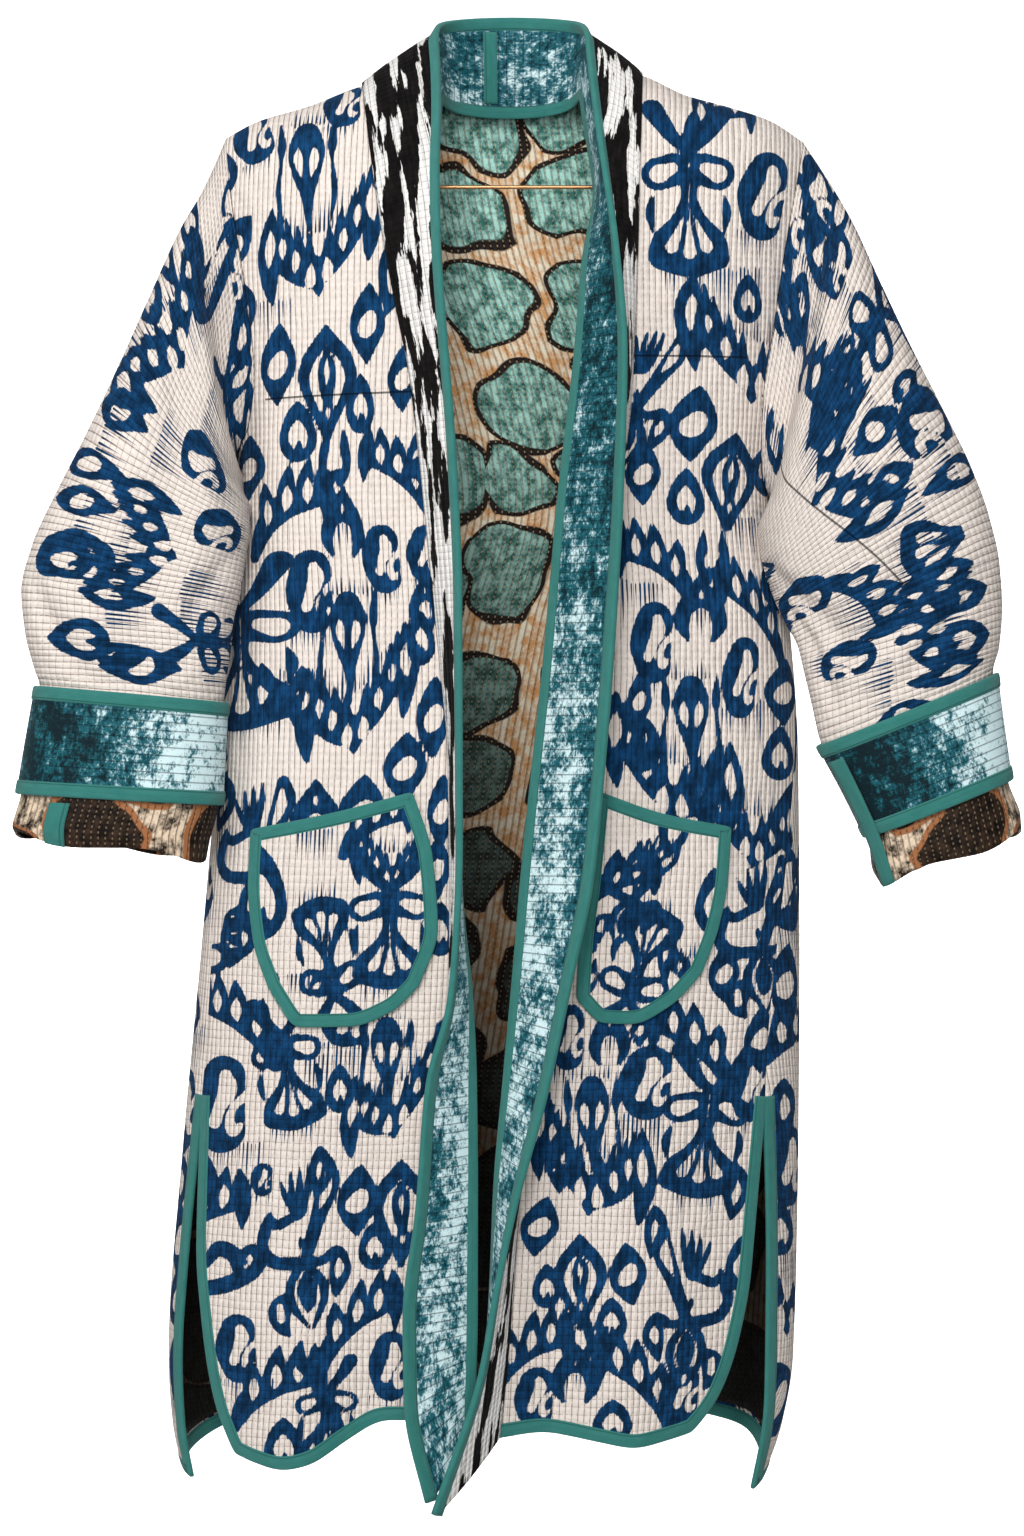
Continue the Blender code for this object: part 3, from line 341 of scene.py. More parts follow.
def cloth_material(name):
    """A new material, the function that adds nodes to it, and its cloth's two coordinates."""
    made = new_material(name)
    add = functools.partial(node, made.node_tree)
    across, along, _ = add("SeparateXYZ", add("Attribute cloth", out=1)).node.outputs
    return made, add, across, along


def dress(made, values, height=None, depth=0.0):
    """Fills a material's surface, with relief of `depth` millimetres for each 1 of height."""
    tree = made.node_tree
    if height is not None:
        values = values | {"Normal": node(tree, "Bump", height, depth * MM, 1.0)}
    fill(tree, tree.nodes["Principled BSDF"].inputs, values)


def stretched(add, across, along, wide, tall):
    """A vector with one unit for `wide` millimetres across and `tall` along."""
    return add("CombineXYZ", add("Math DIVIDE", across, wide * MM),
               add("Math DIVIDE", along, tall * MM))


def grain(add, across, along, wide, tall, detail=2.0, rough=0.5):
    """Noise from 0 to 1 in grains of `wide` by `tall` millimetres."""
    return add("TexNoise", stretched(add, across, along, wide, tall), 1.0, detail, rough)


def groove(add, value, pitch, width):
    """1 on evenly spaced lines of that width, falling to 0 between them."""
    return add(RAMP, add("Math PINGPONG", value, pitch * MM / 2), width * MM / 2, 0.0)


STITCH = 1.3           # width of a stitched line
DYED_THREADS = 3.4     # spacing of the dyed threads, drawn much coarser than real ones
JOIN_ZERO = 50.0       # what is added to the distance from a piecing seam, so 0 means none


def quilt(add, across, along, rows, cross, fade):
    """Height of quilted cloth and the strength of its stitched lines: channels along the
    cloth `rows` apart, and fainter lines `cross` apart over them, full from `fade` on."""
    wander = add("Math SUBTRACT", grain(add, across, along, 40, 90), 0.5)
    s, t = (add("Math MULTIPLY_ADD", wander, 5.0 * MM, way) for way in (across, along))
    broken = add(RAMP, grain(add, across, along, 1.2, 3.2), 0.36, 0.52)
    line = add("Math MULTIPLY", groove(add, s, rows, STITCH),
               add("Math MULTIPLY_ADD", broken, 0.5, 0.5))
    shown = add("Math ADD", add("Attribute cross"),
                add(RAMP, along, fade[0] * MM, fade[1] * MM, 0.12, 1.0))
    other = add("Math MULTIPLY", groove(add, t, cross, STITCH), shown)
    # weave, then the puckering between stitches, then the rounded channels both ways
    high = add("Math MULTIPLY", grain(add, across, along, 1.6, 2.4, 3.0), 0.5)
    high = add("Math MULTIPLY_ADD", grain(add, across, along, 16, 24), 3.0, high)
    for way, pitch, share in ((s, rows, 0.6), (t, cross, 0.35)):
        half = pitch * MM / 2
        channel = add(RAMP, add("Math PINGPONG", way, half), 0.0, half)
        high = add("Math MULTIPLY_ADD", channel, share, high)
    return high, line, add("Math MULTIPLY", other, broken)


def ikat(name, field, ground, ink, shaded_thread, rows, cross, fade=(430, 640)):
    """Quilted warp-dyed cotton, dry and matt: ink where `field` is below 0, its ends
    feathered along the warp, and streaks of single dyed threads where the fringe is high."""
    made, add, across, along = cloth_material(name)
    feather = grain(add, across, along, 1.3, 22, 2.0, 0.6)
    value = add("Math MULTIPLY_ADD", add("Math SUBTRACT", feather, 0.5), 3.0,
                field(add, across, along))
    lanes = add("Math DIVIDE", across, DYED_THREADS * MM)
    length = add("TexWhiteNoise 1D", add("Math FLOOR", lanes))
    reach = add("Math MULTIPLY_ADD", add("Math SUBTRACT", length, 0.5), 0.8,
                add("Attribute fringe"))
    off = add("Math ABSOLUTE", add("Math SUBTRACT", add("Math FRACT", lanes), 0.5))
    width = add(RAMP, reach, 0.25, 1.1, 0.02, 0.24)
    streak = add("Math MULTIPLY", add(RAMP, add("Math SUBTRACT", off, width), 0.05, -0.05),
                 add(RAMP, reach, 0.26, 0.36))
    height, line, other = quilt(add, across, along, rows, cross, fade)
    mottle = grain(add, across, along, 7, 16, 4.0, 0.6)
    plain = add(MIX, mottle, srgb(ground[0]), srgb(ground[1]))
    # Stitched lines: on the ground, the thread's dashes, drawn darker with painted shade of the
    # sunken line; on the ink, painted shade down to the darkest ink.
    for stitches, share in ((line, 0.85), (other, 0.5)):
        plain = add(MIX, add("Math MULTIPLY", stitches, share), plain, srgb(shaded_thread))
    dark = add(MIX, add(RAMP, mottle, 0.3, 0.75), srgb(ink[0]), srgb(ink[1]))
    dark = add(MIX, add("Math MULTIPLY", add("Math MAXIMUM", line, other), 0.7), dark,
               srgb(ink[2]))
    colour = add(MIX, add("Math MAXIMUM", add(RAMP, value, 0.3, -0.3), streak), plain, dark)
    off = add("Math ABSOLUTE", add("Math SUBTRACT", add("Attribute join"), JOIN_ZERO))
    seam = add(RAMP, off, 1.0, 0.3)
    colour = add(MIX, add("Math MULTIPLY", seam, 0.8), colour, srgb(ink[2]))
    dress(made, {"Base Color": colour, "Roughness": 0.86, "Sheen Weight": 0.02, SHINE: 0.08},
          add("Math SUBTRACT", height, seam), 1.1)
    return made


def brushed(add, across, along):
    """The drawn motifs, each a little heavier than its strokes."""
    return add("Math SUBTRACT", add("Attribute ink"), 0.7)


IKAT = ikat("quilted ikat cotton", brushed, ("F1E9E3", "DED2C8"), ("05243F", "13497A", "021020"),
            "5C4339", 4.7, 6.0)

# The dyer's traditional motifs, each built up from brush strokes. A stroke is a smooth
# line of (x, y, radius) in millimetres, y up the warp; "ink" dyes, "bare" leaves the
# ground, "pair" and "bare pair" also draw the mirrored stroke, and "fringe" gives the
# middle, start, half width and length of a comb of loose dyed threads.
MOTIFS = {
    "crown": (
        ("pair", (0, 9, 9), (15, 22, 11), (32, 40, 10)), ("ink", (0, 8, 8), (0, -5, 0.4)),
        ("pair", (40, 76, 0.5), (42, 58, 7), (43, 40, 9), (41, 17, 5), (39, 4, 0.4)),
        ("pair", (8, 28, 4), (8, 44, 0.4)), ("pair", (16, 35, 4), (18, 54, 0.4)),
        ("pair", (25, 43, 4), (28, 64, 0.4)), ("pair", (32, 50, 4), (34, 72, 0.4)),
        ("bare pair", (6, 22, 0.5), (7, 11, 3.9), (6, 6, 3)),
        ("bare pair", (20, 38, 0.5), (19, 28, 3.3), (20, 19, 0.6)),
        ("bare pair", (31, 51, 0.5), (30, 43, 3.0), (30, 33, 0.6)),
        ("bare pair", (41, 62, 0.5), (41, 47, 4.0), (43, 31, 0.6)),
        ("fringe", 0, 44, 26, -24),
    ),
    "arch": (
        ("ink", (-33, -38, 4), (-23, -16, 8), (-5, 0, 9), (12, 7, 9), (24, 8, 6)),
        ("ink", (23, 34, 0.5), (25, 18, 6), (27, 2, 5), (27, -14, 0.5)),
        ("ink", (-19, -8, 7.5), (-21, 5, 6), (-22, 17, 0.4)),
        ("ink", (-4, 4, 8), (-3, 17, 6), (-1, 31, 0.4)),
        ("ink", (11, 10, 8), (12, 22, 5.5), (14, 36, 0.4)),
        ("bare", (-20, 6, 0.5), (-19, -5, 3.4), (-20, -15, 0.6)),
        ("bare", (-3, 17, 0.5), (-3, 6, 3.8), (-5, -4, 0.6)),
        ("bare", (13, 23, 0.5), (13, 12, 3.5), (12, 2, 0.6)),
    ),
    "diamond": (
        ("ink", (2, 31, 0.4), (1, 16, 8), (0, 0, 12.5), (-1, -15, 8), (0, -31, 0.4)),
        ("bare", (3, 10, 1), (2, 4, 4.5), (-1, -4, 5.5), (-3, -10, 1.2)),
    ),
    "ring": (
        ("ink", (0, 23, 0.8), (0, 10, 9), (0, -4, 13), (0, -10, 11)),
        ("bare", (0, 9, 1.5), (0, -1, 5.6), (1, -7, 5)), ("ink", (1, -14, 3), (1, -6, 0.6)),
    ),
    "oval": (("ink", (-5, 0, 12), (5, 0, 12)), ("bare", (-5, -1, 5.2), (4, 1, 5.8))),
    "tulip": (
        ("pair", (0, 44, 0.5), (4, 33, 4.6), (15, 19, 4.6), (19, 4, 4.0), (14, -11, 3.0),
         (6, -28, 2.4), (1, -44, 0.7)),
        ("ink", (0, 25, 1.5), (0, 11, 6.5), (0, -3, 5.5), (1, -16, 2.4)),
        ("bare", (0, 20, 0.5), (0, 10, 2.2), (0, -2, 0.8)),
        ("ink", (1, -16, 3.5), (1, -25, 4.6), (1, -40, 1.5)),
        ("bare", (1, -17, 0.6), (1, -22, 1.9), (1, -28, 0.6)),
    ),
    "twin": (
        ("pair", (8, 21, 0.5), (9, 8, 3.8), (10, -6, 4.6), (6, -17, 4.5)),
        ("pair", (5, -18, 4), (0, -12, 2.2)),
        ("bare pair", (5, 6, 0.5), (5, -6, 2.2), (4, -11, 0.8)),
    ),
    "spade": (
        ("ink", (0, 27, 0.5), (0, 17, 5)),
        ("pair", (0, 17, 5), (8, 2, 4.6), (11, -14, 3.8), (7, -28, 0.8)),
        ("pair", (8, -1, 3), (0, 4, 3)), ("bare", (0, 15, 0.5), (0, 10, 1.6), (0, 5, 0.5)),
        ("fringe", 0, -4, 6, 22),
    ),
    "comma": (
        ("ink", (2, 17, 13), (-1, 0, 15.5), (1, -17, 13)),
        ("bare", (4, 18, 3.2), (5, 9, 4.6), (0, -2, 3.4), (-3, -11, 3.4)),
        ("bare", (17, 5, 3), (10, 0, 2), (6, -9, 2.4), (8, -17, 3), (12, -13, 1.4)),
        ("fringe", -3, -27, 13, 20),
    ),
    "pomegranate": (
        ("ink", (0, 27, 9), (0, 14, 13), (0, -2, 10), (1, -20, 4.5), (2, -46, 0.8)),
        ("bare pair", (6, 17, 0.6), (6, 7, 3.1), (3, -8, 0.6)),
        ("pair", (20, 37, 0.5), (19, 18, 2.8), (19, 6, 1), (21, -18, 1.6), (18, -38, 0.4)),
        ("fringe", 0, 36, 15, -15),
    ),
    "lily": (
        ("pair", (2, 2, 3.5), (3, -16, 3.2), (2, -32, 3), (7, -48, 5), (18, -62, 6.5),
         (22, -74, 5)),
        ("ink", (-21, -76, 4.5), (0, -79, 7.5), (22, -76, 4.5)), ("ink", (0, -56, 6), (0, -70, 14)),
        ("pair", (10, -12, 11), (20, -15, 11)), ("bare pair", (11, -11, 3.4), (20, -15, 5.4)),
        ("bare pair", (3.5, -44, 0.6), (8, -57, 2.4), (12, -66, 3.8)),
        ("bare", (0, -44, 0.7), (0, -62, 2.6), (0, -70, 3.9)),
        ("bare", (0, 6, 1.0), (0, -20, 0.8), (0, -44, 1.0)),
        ("pair", (2, 2, 3), (12, 13, 4.6), (24, 32, 7)),
        ("pair", (24, -30, 0.4), (26, -42, 2.6), (24, -56, 0.5)),
        ("fringe", 0, -82, 20, 20),
    ),
    "bell": (
        ("pair", (2, 14, 2.5), (6, 0, 4.8), (16, -13, 6.5), (20, -23, 5)),
        ("ink", (-19, -25, 4.5), (0, -28, 7), (19, -25, 4.5)), ("ink", (0, -6, 5), (0, -20, 13)),
        ("bare pair", (3.5, 6, 0.6), (8, -7, 2.4), (11, -16, 3.6)),
        ("bare", (0, 16, 1.0), (0, -4, 1.2), (0, -20, 3.8)), ("fringe", 0, -31, 18, 19),
    ),
    "hand": (
        ("ink", (-17, 62, 0.4), (-14, 52, 1.8), (-6, 38, 2.6)),
        ("ink", (-9, 68, 0.4), (-8, 54, 2), (-4, 38, 2.6)),
        ("ink", (-2, 72, 0.4), (-2, 56, 2.2), (-2, 38, 2.6)),
        ("ink", (5, 74, 0.4), (4, 58, 2), (0, 38, 2.6)),
        ("ink", (-25, 38, 1), (-29, 26, 4), (-31, 12, 4), (-22, 1, 4.4), (0, -1, 4.4)),
        ("ink", (-26, 36, 1.4), (-20, 29, 3.4), (-8, 34, 3), (-2, 36, 3)),
        ("ink", (20, 74, 3.6), (20, 58, 7.4), (12, 34, 5.4), (2, 2, 4)),
        ("bare", (19, 67, 1.6), (18, 54, 3.4), (12, 38, 1)),
        ("ink", (0, 0, 4), (14, 0, 3), (25, 6, 4), (28, -6, 7.4), (26, -16, 5.6), (24, -28, 0.6)),
        ("bare", (27, 1, 0.6), (27, -7, 3.2), (25, -15, 0.8)),
        ("ink", (-14, -24, 1), (-18, -35, 8), (-17, -46, 6), (-11, -55, 0.6)),
        ("bare", (-18, -33, 2.6), (-17, -42, 3)),
        ("ink", (-2, 18, 0.5), (-1, 14, 2), (-1, 10, 0.5)),
        ("ink", (-1, -2, 2.4), (-9, -16, 3), (-8, -32, 2.6), (4, -50, 0.8)),
        ("ink", (4, -3, 2.4), (14, -16, 3), (15, -30, 2.4), (7, -50, 0.8)),
        ("ink", (2, -8, 1), (3, -20, 6.4), (4, -30, 5), (3, -37, 0.6)),
    ),
    "curl": (
        ("ink", (-28, -16, 5), (-10, -12, 6), (8, -4, 5), (16, 8, 4.4), (10, 16, 3.6),
         (2, 11, 2.4), (5, 6, 1.2)),
        ("ink", (-26, 4, 3), (-16, 16, 5.6), (-4, 12, 5.6), (0, 0, 4)),
    ),
    "petal": (("ink", (0, 20, 0.5), (1, 6, 8.5), (0, -8, 7.5), (-3, -22, 0.8)),
              ("bare", (0, 9, 0.6), (1, -1, 3.4), (-1, -12, 0.8))),
    "fringe": (("fringe", 0, 14, 15, 28),),
}
LEANING = ("crown", "arch")
UNDYED = 9.0                   # field where nothing is near, in millimetres
MOTIF_SIDE, MOTIF_TOP, MOTIF_FOOT = 62, 92, -115     # box that holds any motif


def stroke_points(stroke):
    """Closely spaced points of a stroke: a Catmull-Rom line through its own points."""
    points = np.array(stroke, float)
    points = np.concatenate([2 * points[:1] - points[1:2], points, 2 * points[-1:] - points[-2:-1]])
    u = np.linspace(0, 1, 12, endpoint=False)[:, None]
    found = []
    for a, b, c, d in zip(points[:-3], points[1:-2], points[2:-1], points[3:]):
        found.append(0.5 * (2 * b + (c - a) * u + (2 * a - 5 * b + 4 * c - d) * u**2
                            + (3 * b - a - 3 * c + d) * u**3))
    found = np.concatenate([*found, points[-2:-1]])
    found[:, 2] = np.maximum(found[:, 2], 0.2)
    return found


def dyed(place, *layouts):
    """Signed distance to the dyed motifs and the strength of their fringes at each place in
    the cloth, from layouts of motifs: place, width, height and turn. Leaning motifs are
    sheared and the others turned."""
    ink, fringe = np.full(place.shape[:2], UNDYED), np.zeros(place.shape[:2])
    spots = [(name, *spot) for layout in layouts for name in layout for spot in layout[name]]
    for name, s, t, wide, tall, *turn in spots:
        x, y = place[..., 0] - s, t - place[..., 1]
        angle = math.radians(sum(turn))
        if name in LEANING:
            y = y - math.tan(angle) * x
        else:
            x, y = (x * math.cos(angle) + y * math.sin(angle),
                    y * math.cos(angle) - x * math.sin(angle))
        x, y = x / wide, y / tall
        near = (np.abs(x) < MOTIF_SIDE) & (y < MOTIF_TOP) & (y > MOTIF_FOOT)
        x, y = x[near], y[near]
        if not len(x):
            continue
        field, comb = np.full(len(x), UNDYED), np.zeros(len(x))
        for kind, *stroke in MOTIFS[name]:
            if kind == "fringe":
                middle, start, half, length = stroke
                share = (start - y) / length
                soft = np.clip((half - np.abs(x - middle)) / 5 + 0.6, 0, 1)
                share = np.where(share > -0.12, np.clip(1 - share, 0, 1), 0)
                comb = np.maximum(comb, share * soft)
                continue
            points = stroke_points(stroke)
            if "pair" in kind:
                points = np.concatenate([points, points * (-1, 1, 1)])
            swell = points[:, 2] * (1.3 if "bare" in kind else 1.0)
            reach = np.hypot(x[:, None] - points[:, 0], y[:, None] - points[:, 1]) - swell
            reach = reach.min(axis=1)
            field = np.maximum(field, -reach) if "bare" in kind else np.minimum(field, reach)
        ink[near] = np.minimum(ink[near], field * math.sqrt(abs(wide * tall)))
        fringe[near] = np.maximum(fringe[near], comb)
    return {"ink": ink, "fringe": fringe}


def joined(place, first, last):
    """Signed distance, plus JOIN_ZERO, to a piecing seam between two places in the cloth."""
    first, along = np.array(first, float), unit(np.array(last, float) - first)
    away = place - first
    run = away @ along
    inside = (run > 0) & (run < np.hypot(*(np.array(last) - first)))
    return np.where(inside, away @ (along[1], -along[0]) + JOIN_ZERO, 0.0)


FRONT_MOTIFS = {
    # places across from the front's middle and down, width, height, and turn if any
    "comma": ((-206, -34, 1.14, 0.81, 25), (-131, -57, 0.93, 0.67, 5), (-95, 295, 0.9, 0.85, 5),
        (-153, 319, 1.21, 1.04, 3), (-62, 291, 0.81, 0.71, -3), (-217, 711, 1.64, 1.22, 5),
        (-115, 646, 1.14, 0.61, 3), (-189, 895, 1.11, 0.85, 7), (-69, 906, 0.92, 0.86, 1),
        (-175, 766, 0.56, 0.4, 4), (-251, 459, 1.44, 0.94, 10), (201, 14, 1.36, 1.14, -7),
        (109, 358, 1, 1.01), (181, 384, 0.97, 1.02, -6), (54, 657, 0.81, 0.81, 3),
        (116, 692, 1.29, 0.91, 3), (42, 930, 0.91, 0.76, 3), (154, 929, 0.98, 0.71, 3),
        (231, 784, 1.12, 1.02, 3), (228, 920, 1.05, 0.92, 3), (236, 296, 1.44, 1.35, -44),
        (201, 696, 1.1, 0.92, 3)),
    "ring": ((-239, -6, 1.5, 0.95, 23), (-111, 178, 0.8, 0.99, 2), (-161, 198, 1.19, 1.02, 2),
        (-84, 816, 0.92, 0.81, 3), (-147, 966, 1.16, 0.91, 3), (-67, 356, 0.81, 0.91),
        (-233, 770, 1.5, 1.02, 6), (-46, 576, 0.81, 0.91, 3), (-117, 697, 0.82, 0.81, 3),
        (189, 95, 0.98, 0.81, 1), (140, 248, 1.13, 0.94, -1), (219, 223, 1.43, 0.92, -29),
        (220, 443, 1.44, 0.92, 1), (48, 846, 0.81, 0.73, 3), (98, 871, 0.88, 0.75, 3),
        (102, 947, 1.12, 0.71, 3), (104, 436, 0.93, 0.91, 2), (224, 723, 1.16, 1.02, 3),
        (224, 555, 1.2, 0.92, 2), (201, 833, 1.07, 0.92, 3)),
    "pomegranate": ((-157, -4, 1.09, 1.04, 2), (-123, 356, 1.05, 1.01), (-82, 673, 0.92, 0.86, 3),
        (140, 418, 1.06, 0.96, 1), (76, 721, 0.96, 0.96, 3)),
    "crown": ((-145, 88, 0.99, 1.02, 22), (-117, 437, 0.94, 1.01, 25), (-73, 729, 0.81, 0.86, 36),
        (195, 168, 1.29, 1.01, -15), (127, 491, 1.12, 1.01, -23), (76, 786, 0.98, 1.01, -24),
        (195, 525, 0.98, 0.87, -16)),
    "diamond": ((-221, 50, 1.25, 0.85, -35), (-107, 116, 1.04, 0.98), (-180, 145, 1.26, 0.99, 1),
        (-79, 158, 0.87, 0.81, 2), (-57, 415, 1.01, 1.01, 1), (-78, 453, 1.27, 0.86, 2),
        (-49, 486, 0.81, 0.91, 2), (-110, 487, 1.45, 0.91, 2), (-209, 584, 1.38, 0.74, -15),
        (-99, 781, 1.22, 0.86, 3), (-64, 216, 0.71, 0.71, 1), (-51, 530, 0.81, 0.81, 2),
        (-211, 223, 1.62, 0.82, -1), (-161, 401, 0.99, 0.81, 1), (-111, 961, 0.91, 0.81, 4),
        (145, 191, 1.57, 0.93, -3), (106, 230, 1.04, 0.76, 1), (226, 395, 1.8, 0.82, -3),
        (235, 493, 1.8, 0.93, 2), (174, 610, 1.01, 0.69, 3), (40, 800, 1.1, 0.73, -7),
        (109, 836, 1.11, 0.76, 13), (99, 402, 0.72, 0.71), (209, 661, 1.15, 0.82, 3),
        (228, 852, 1.09, 1.02, 3), (109, 652, 0.52, 0.4, 3), (53, 750, 0.81, 0.81, 3),
        (204, 898, 1.05, 0.82, 3)),
    "petal": ((-88, 79, 1.23, 1.32), (-195, 394, 1.27, 1.02, 1), (-214, 101, 1.4, 1.01, -3),
        (-236, 478, 1.8, 1.04, 7), (-129, 758, 0.93, 0.91, 3), (153, 114, 1.1, 0.91),
        (192, 775, 1.16, 1.02, 3), (128, 803, 0.94, 0.91, 3)),
    "tulip": ((-138, 161, 1, 1, 2), (-65, 790, 0.96, 0.91, 3), (178, 235, 1.11, 0.86, -7),
        (73, 842, 0.85, 0.82, 3)),
    "twin": ((-130, 217, 0.85, 0.99, 1), (160, 292, 0.96, 0.92, -4), (74, 884, 0.8, 0.81, 2)),
    "arch": ((-166, 254, 1.11, 1.02, -2), (-83, 228, -0.87, 0.86, -9),
        (-210, 644, -1.25, 0.91, -2), (-224, 794, 1.27, 0.96, 5), (-152, 920, 1.12, 0.95, -2),
        (-91, 870, 0.96, 0.96, 12), (164, -53, 0.89, 0.95, -12), (111, 296, -0.94, 0.91, 1),
        (192, 330, -1.01, 0.92, -20), (149, 660, -1.08, 0.91, -11), (41, 892, 0.91, 0.91, -1),
        (117, 914, -0.99, 0.95, -16)),
    "spade": ((-124, 266, 1.11, 0.96, -2), (-146, 487, 1.39, 0.91, 2), (-63, 326, 0.81, 0.71, -2),
        (148, 331, 1.41, 0.91, -2), (86, 655, 1.02, 0.81, 3), (72, 910, 1.21, 0.81, 2)),
    "lily": ((-221, 333, 1.89, 1.06, 5), (-164, 657, 0.92, 0.83, 12), (-116, 924, 0.76, 0.66, 2),
        (137, -16, 1.18, 1.1, 2), (168, 700, 1.17, 0.93, -6)),
    "hand": ((-194, 536, 1.22, 0.97, 3), (-138, 827, 1.03, 1, 4), (96, 182, 0.93, 0.88, -18),
        (205, 593, 1.15, 0.92, 3), (159, 874, -1.03, 0.96, 3)),
    "curl": ((-190, 835, 1.17, 0.96, 4),),
    "oval": ((-242, 601, 1.6, 0.92, 6),),
    "fringe": ((-243, 245, 1.98, 1.4, 12), (-59, 122, 1.03, 1.32), (-194, 118, 1.56, 1.32, -1),
        (-161, 401, 1.43, 1.32, 1), (-83, 387, 1.22, 1.21), (-246, 524, 1.98, 1.34, 7),
        (-125, 690, 1.34, 1.21, 3), (-194, 759, 1.42, 1.21, 4), (-176, 933, 1.36, 1.01, 3),
        (-92, 583, 1.02, 1.21, 3), (177, 96, 1.51, 1.42, 1), (187, 282, 1.43, 1.24, -6),
        (200, 424, 1.69, 1.23, 1), (149, 485, 1.4, 1.22, 2), (162, 766, 1.31, 1.22, 3),
        (114, 742, 1.24, 1.31, 3), (117, 629, 1.24, 1.21, 3), (100, 334, 1.13, 1.31, -1)),
}

# Folded bias tape, 11 mm wide, over every raw edge; each a flat round-edged tube.
TAPE, TAPE_THICK = 11.0, 4.4
ROUND = np.linspace(0, 2 * np.pi, 17)
PROFILE = together(0.5 + 0.5 * squared(np.cos(ROUND), 0.45), 0.5 * squared(np.sin(ROUND), 0.6))


def eased(line, times, closed=False):
    """A line with each point drawn towards the mean of its neighbours, ends kept."""
    line = line.copy()
    for _ in range(times):
        mean = (np.roll(line, 1, axis=0) + 2 * line + np.roll(line, -1, axis=0)) / 4
        if closed:
            line = mean
        else:
            line[1:-1] = mean[1:-1]
    return line


def tape(name, path, towards, normal, cad, thick=TAPE_THICK, wrap=0.0, closed=False):
    """Sweeps the tape's section along `path`, the cloth's edge, which it wraps by `wrap`;
    `towards` points over the cloth and `normal` stands on the tape's face."""
    if closed:
        path, towards, normal = (np.concatenate([a, a[:1]]) for a in (path, towards, normal))
    along = np.gradient(path, axis=0)
    if closed:
        along[0] = along[-1] = path[1] - path[-2]
    along = unit(along)
    across = unit(towards - along * np.sum(towards * along, axis=1, keepdims=True))
    normal = unit(normal - across * np.sum(normal * across, axis=1, keepdims=True))
    points = (path[:, None] + across[:, None] * (TAPE * PROFILE[None, :, :1] - wrap)
              + normal[:, None] * thick * PROFILE[None, :, 1:])
    run = run_along(path)
    middle = points[:, :-1].mean(axis=1, keepdims=True)
    if not closed:
        points = np.concatenate([middle[:1] + 0 * points[:1], points, middle[-1:] + 0 * points[:1]])
        middle, run = np.pad(middle, ((1, 1), (0, 0), (0, 0)), "edge"), np.pad(run, 1, "edge")
    return cloth_piece(name, points, cad, TAPE_CLOTH,
                       together(run[:, None], TAPE * PROFILE[None, :, 0]), points - middle)


def bias_tape():
    """Matt teal bias tape: a fine slanting weave, drawn coarser than a real one, and a
    stitched ditch near its inner edge."""
    made, add, run, across = cloth_material("teal bias tape")
    slant = groove(add, add("Math ADD", run, across), 0.9, 0.5)
    wash = grain(add, run, across, 14, 5, 3.0)
    ditch, middle = (add(RAMP, add("Math ABSOLUTE", add("Math SUBTRACT", across, at * MM)),
                         half * MM, 0.1 * MM) for at, half in ((9.2, 0.55), (4.6, 0.4)))
    colour = add(MIX, wash, srgb("2B736E"), srgb("438B84"))
    colour = add(MIX, add("Math MULTIPLY", slant, 0.28), colour, srgb("1D5752"))
    colour = add(MIX, add("Math MULTIPLY", ditch, 0.5), colour, srgb("174843"))
    lines = add("Math MULTIPLY_ADD", middle, 0.35, ditch)
    high = add("Math SUBTRACT", add("Math MULTIPLY", slant, -0.25), lines)
    dress(made, {"Base Color": colour, "Roughness": 0.8, "Sheen Weight": 0.15, SHINE: 0.08},
          high, 0.5)
    return made


TAPE_CLOTH = bias_tape()
HEM_WRAP = 1.3         # how far the hem tapes reach past the cloth's edge
HEM_EASE = 12          # times their line is smoothed
FRONT_COLUMNS = 90
SLIT_ROW = ARM + SIDE
PIECED = {"left": ((-192, 171), (-60, 168)), "right": ((80, 141), (189, 139))}
# outer points, inward directions and places in the cloth of each front panel
PANELS = {}


def hem_path(grid, inset=0):
    """Points down a panel's slit edge and back along its hem, or `inset` cells in from it."""
    last = -1 - inset
    return np.concatenate([grid[SLIT_ROW:-1, last], grid[last, [last]], grid[last, -2::-1]])


def new_panel(angles, heights):
    """Outer points, inward directions and places in the cloth of one panel of the body."""
    return (body_point(angles, heights), body_inward(angles, heights),
            body_cloth(angles, heights))


for name, side in (("left", LEFT), ("right", RIGHT)):
    outer, inward, place = PANELS[name] = new_panel(*front_grid(side, FRONT_COLUMNS))
    fields = dyed(place, FRONT_MOTIFS) | {"join": joined(place, *PIECED[name])}
    front = cloth_piece(f"{name}_front", outer, f"front_{name}", IKAT, place,
                        -inward, fields, CLOTH)
    middle = outer + inward * CLOTH / 2
    edge = eased(hem_path(middle), HEM_EASE)
    hem = tape(f"{name}_hem_tape", edge, eased(hem_path(middle, 3) - edge, HEM_EASE),
               -hem_path(inward), f"hem_binding_{name}", wrap=HEM_WRAP)

# ================================================================ back
# One panel of the same quilted cotton that wraps round both sides to the side seams, cut
# out at the neck and bound along both slits and the hem; sewn to the fronts and sleeves.
NECK_COLUMNS = 60
BACK_HEM = (
    # angle round the body (0 front, 180 back), z
    (-150, -960), (-125, -972), (-108, -984), (-90, -994), (-60, -1003), (60, -1014),
    (84, -1004), (100, -992), (118, -972), (150, -960),
)
NECK_SEAM_Z = 62.0     # lowest point of the back's neck cut


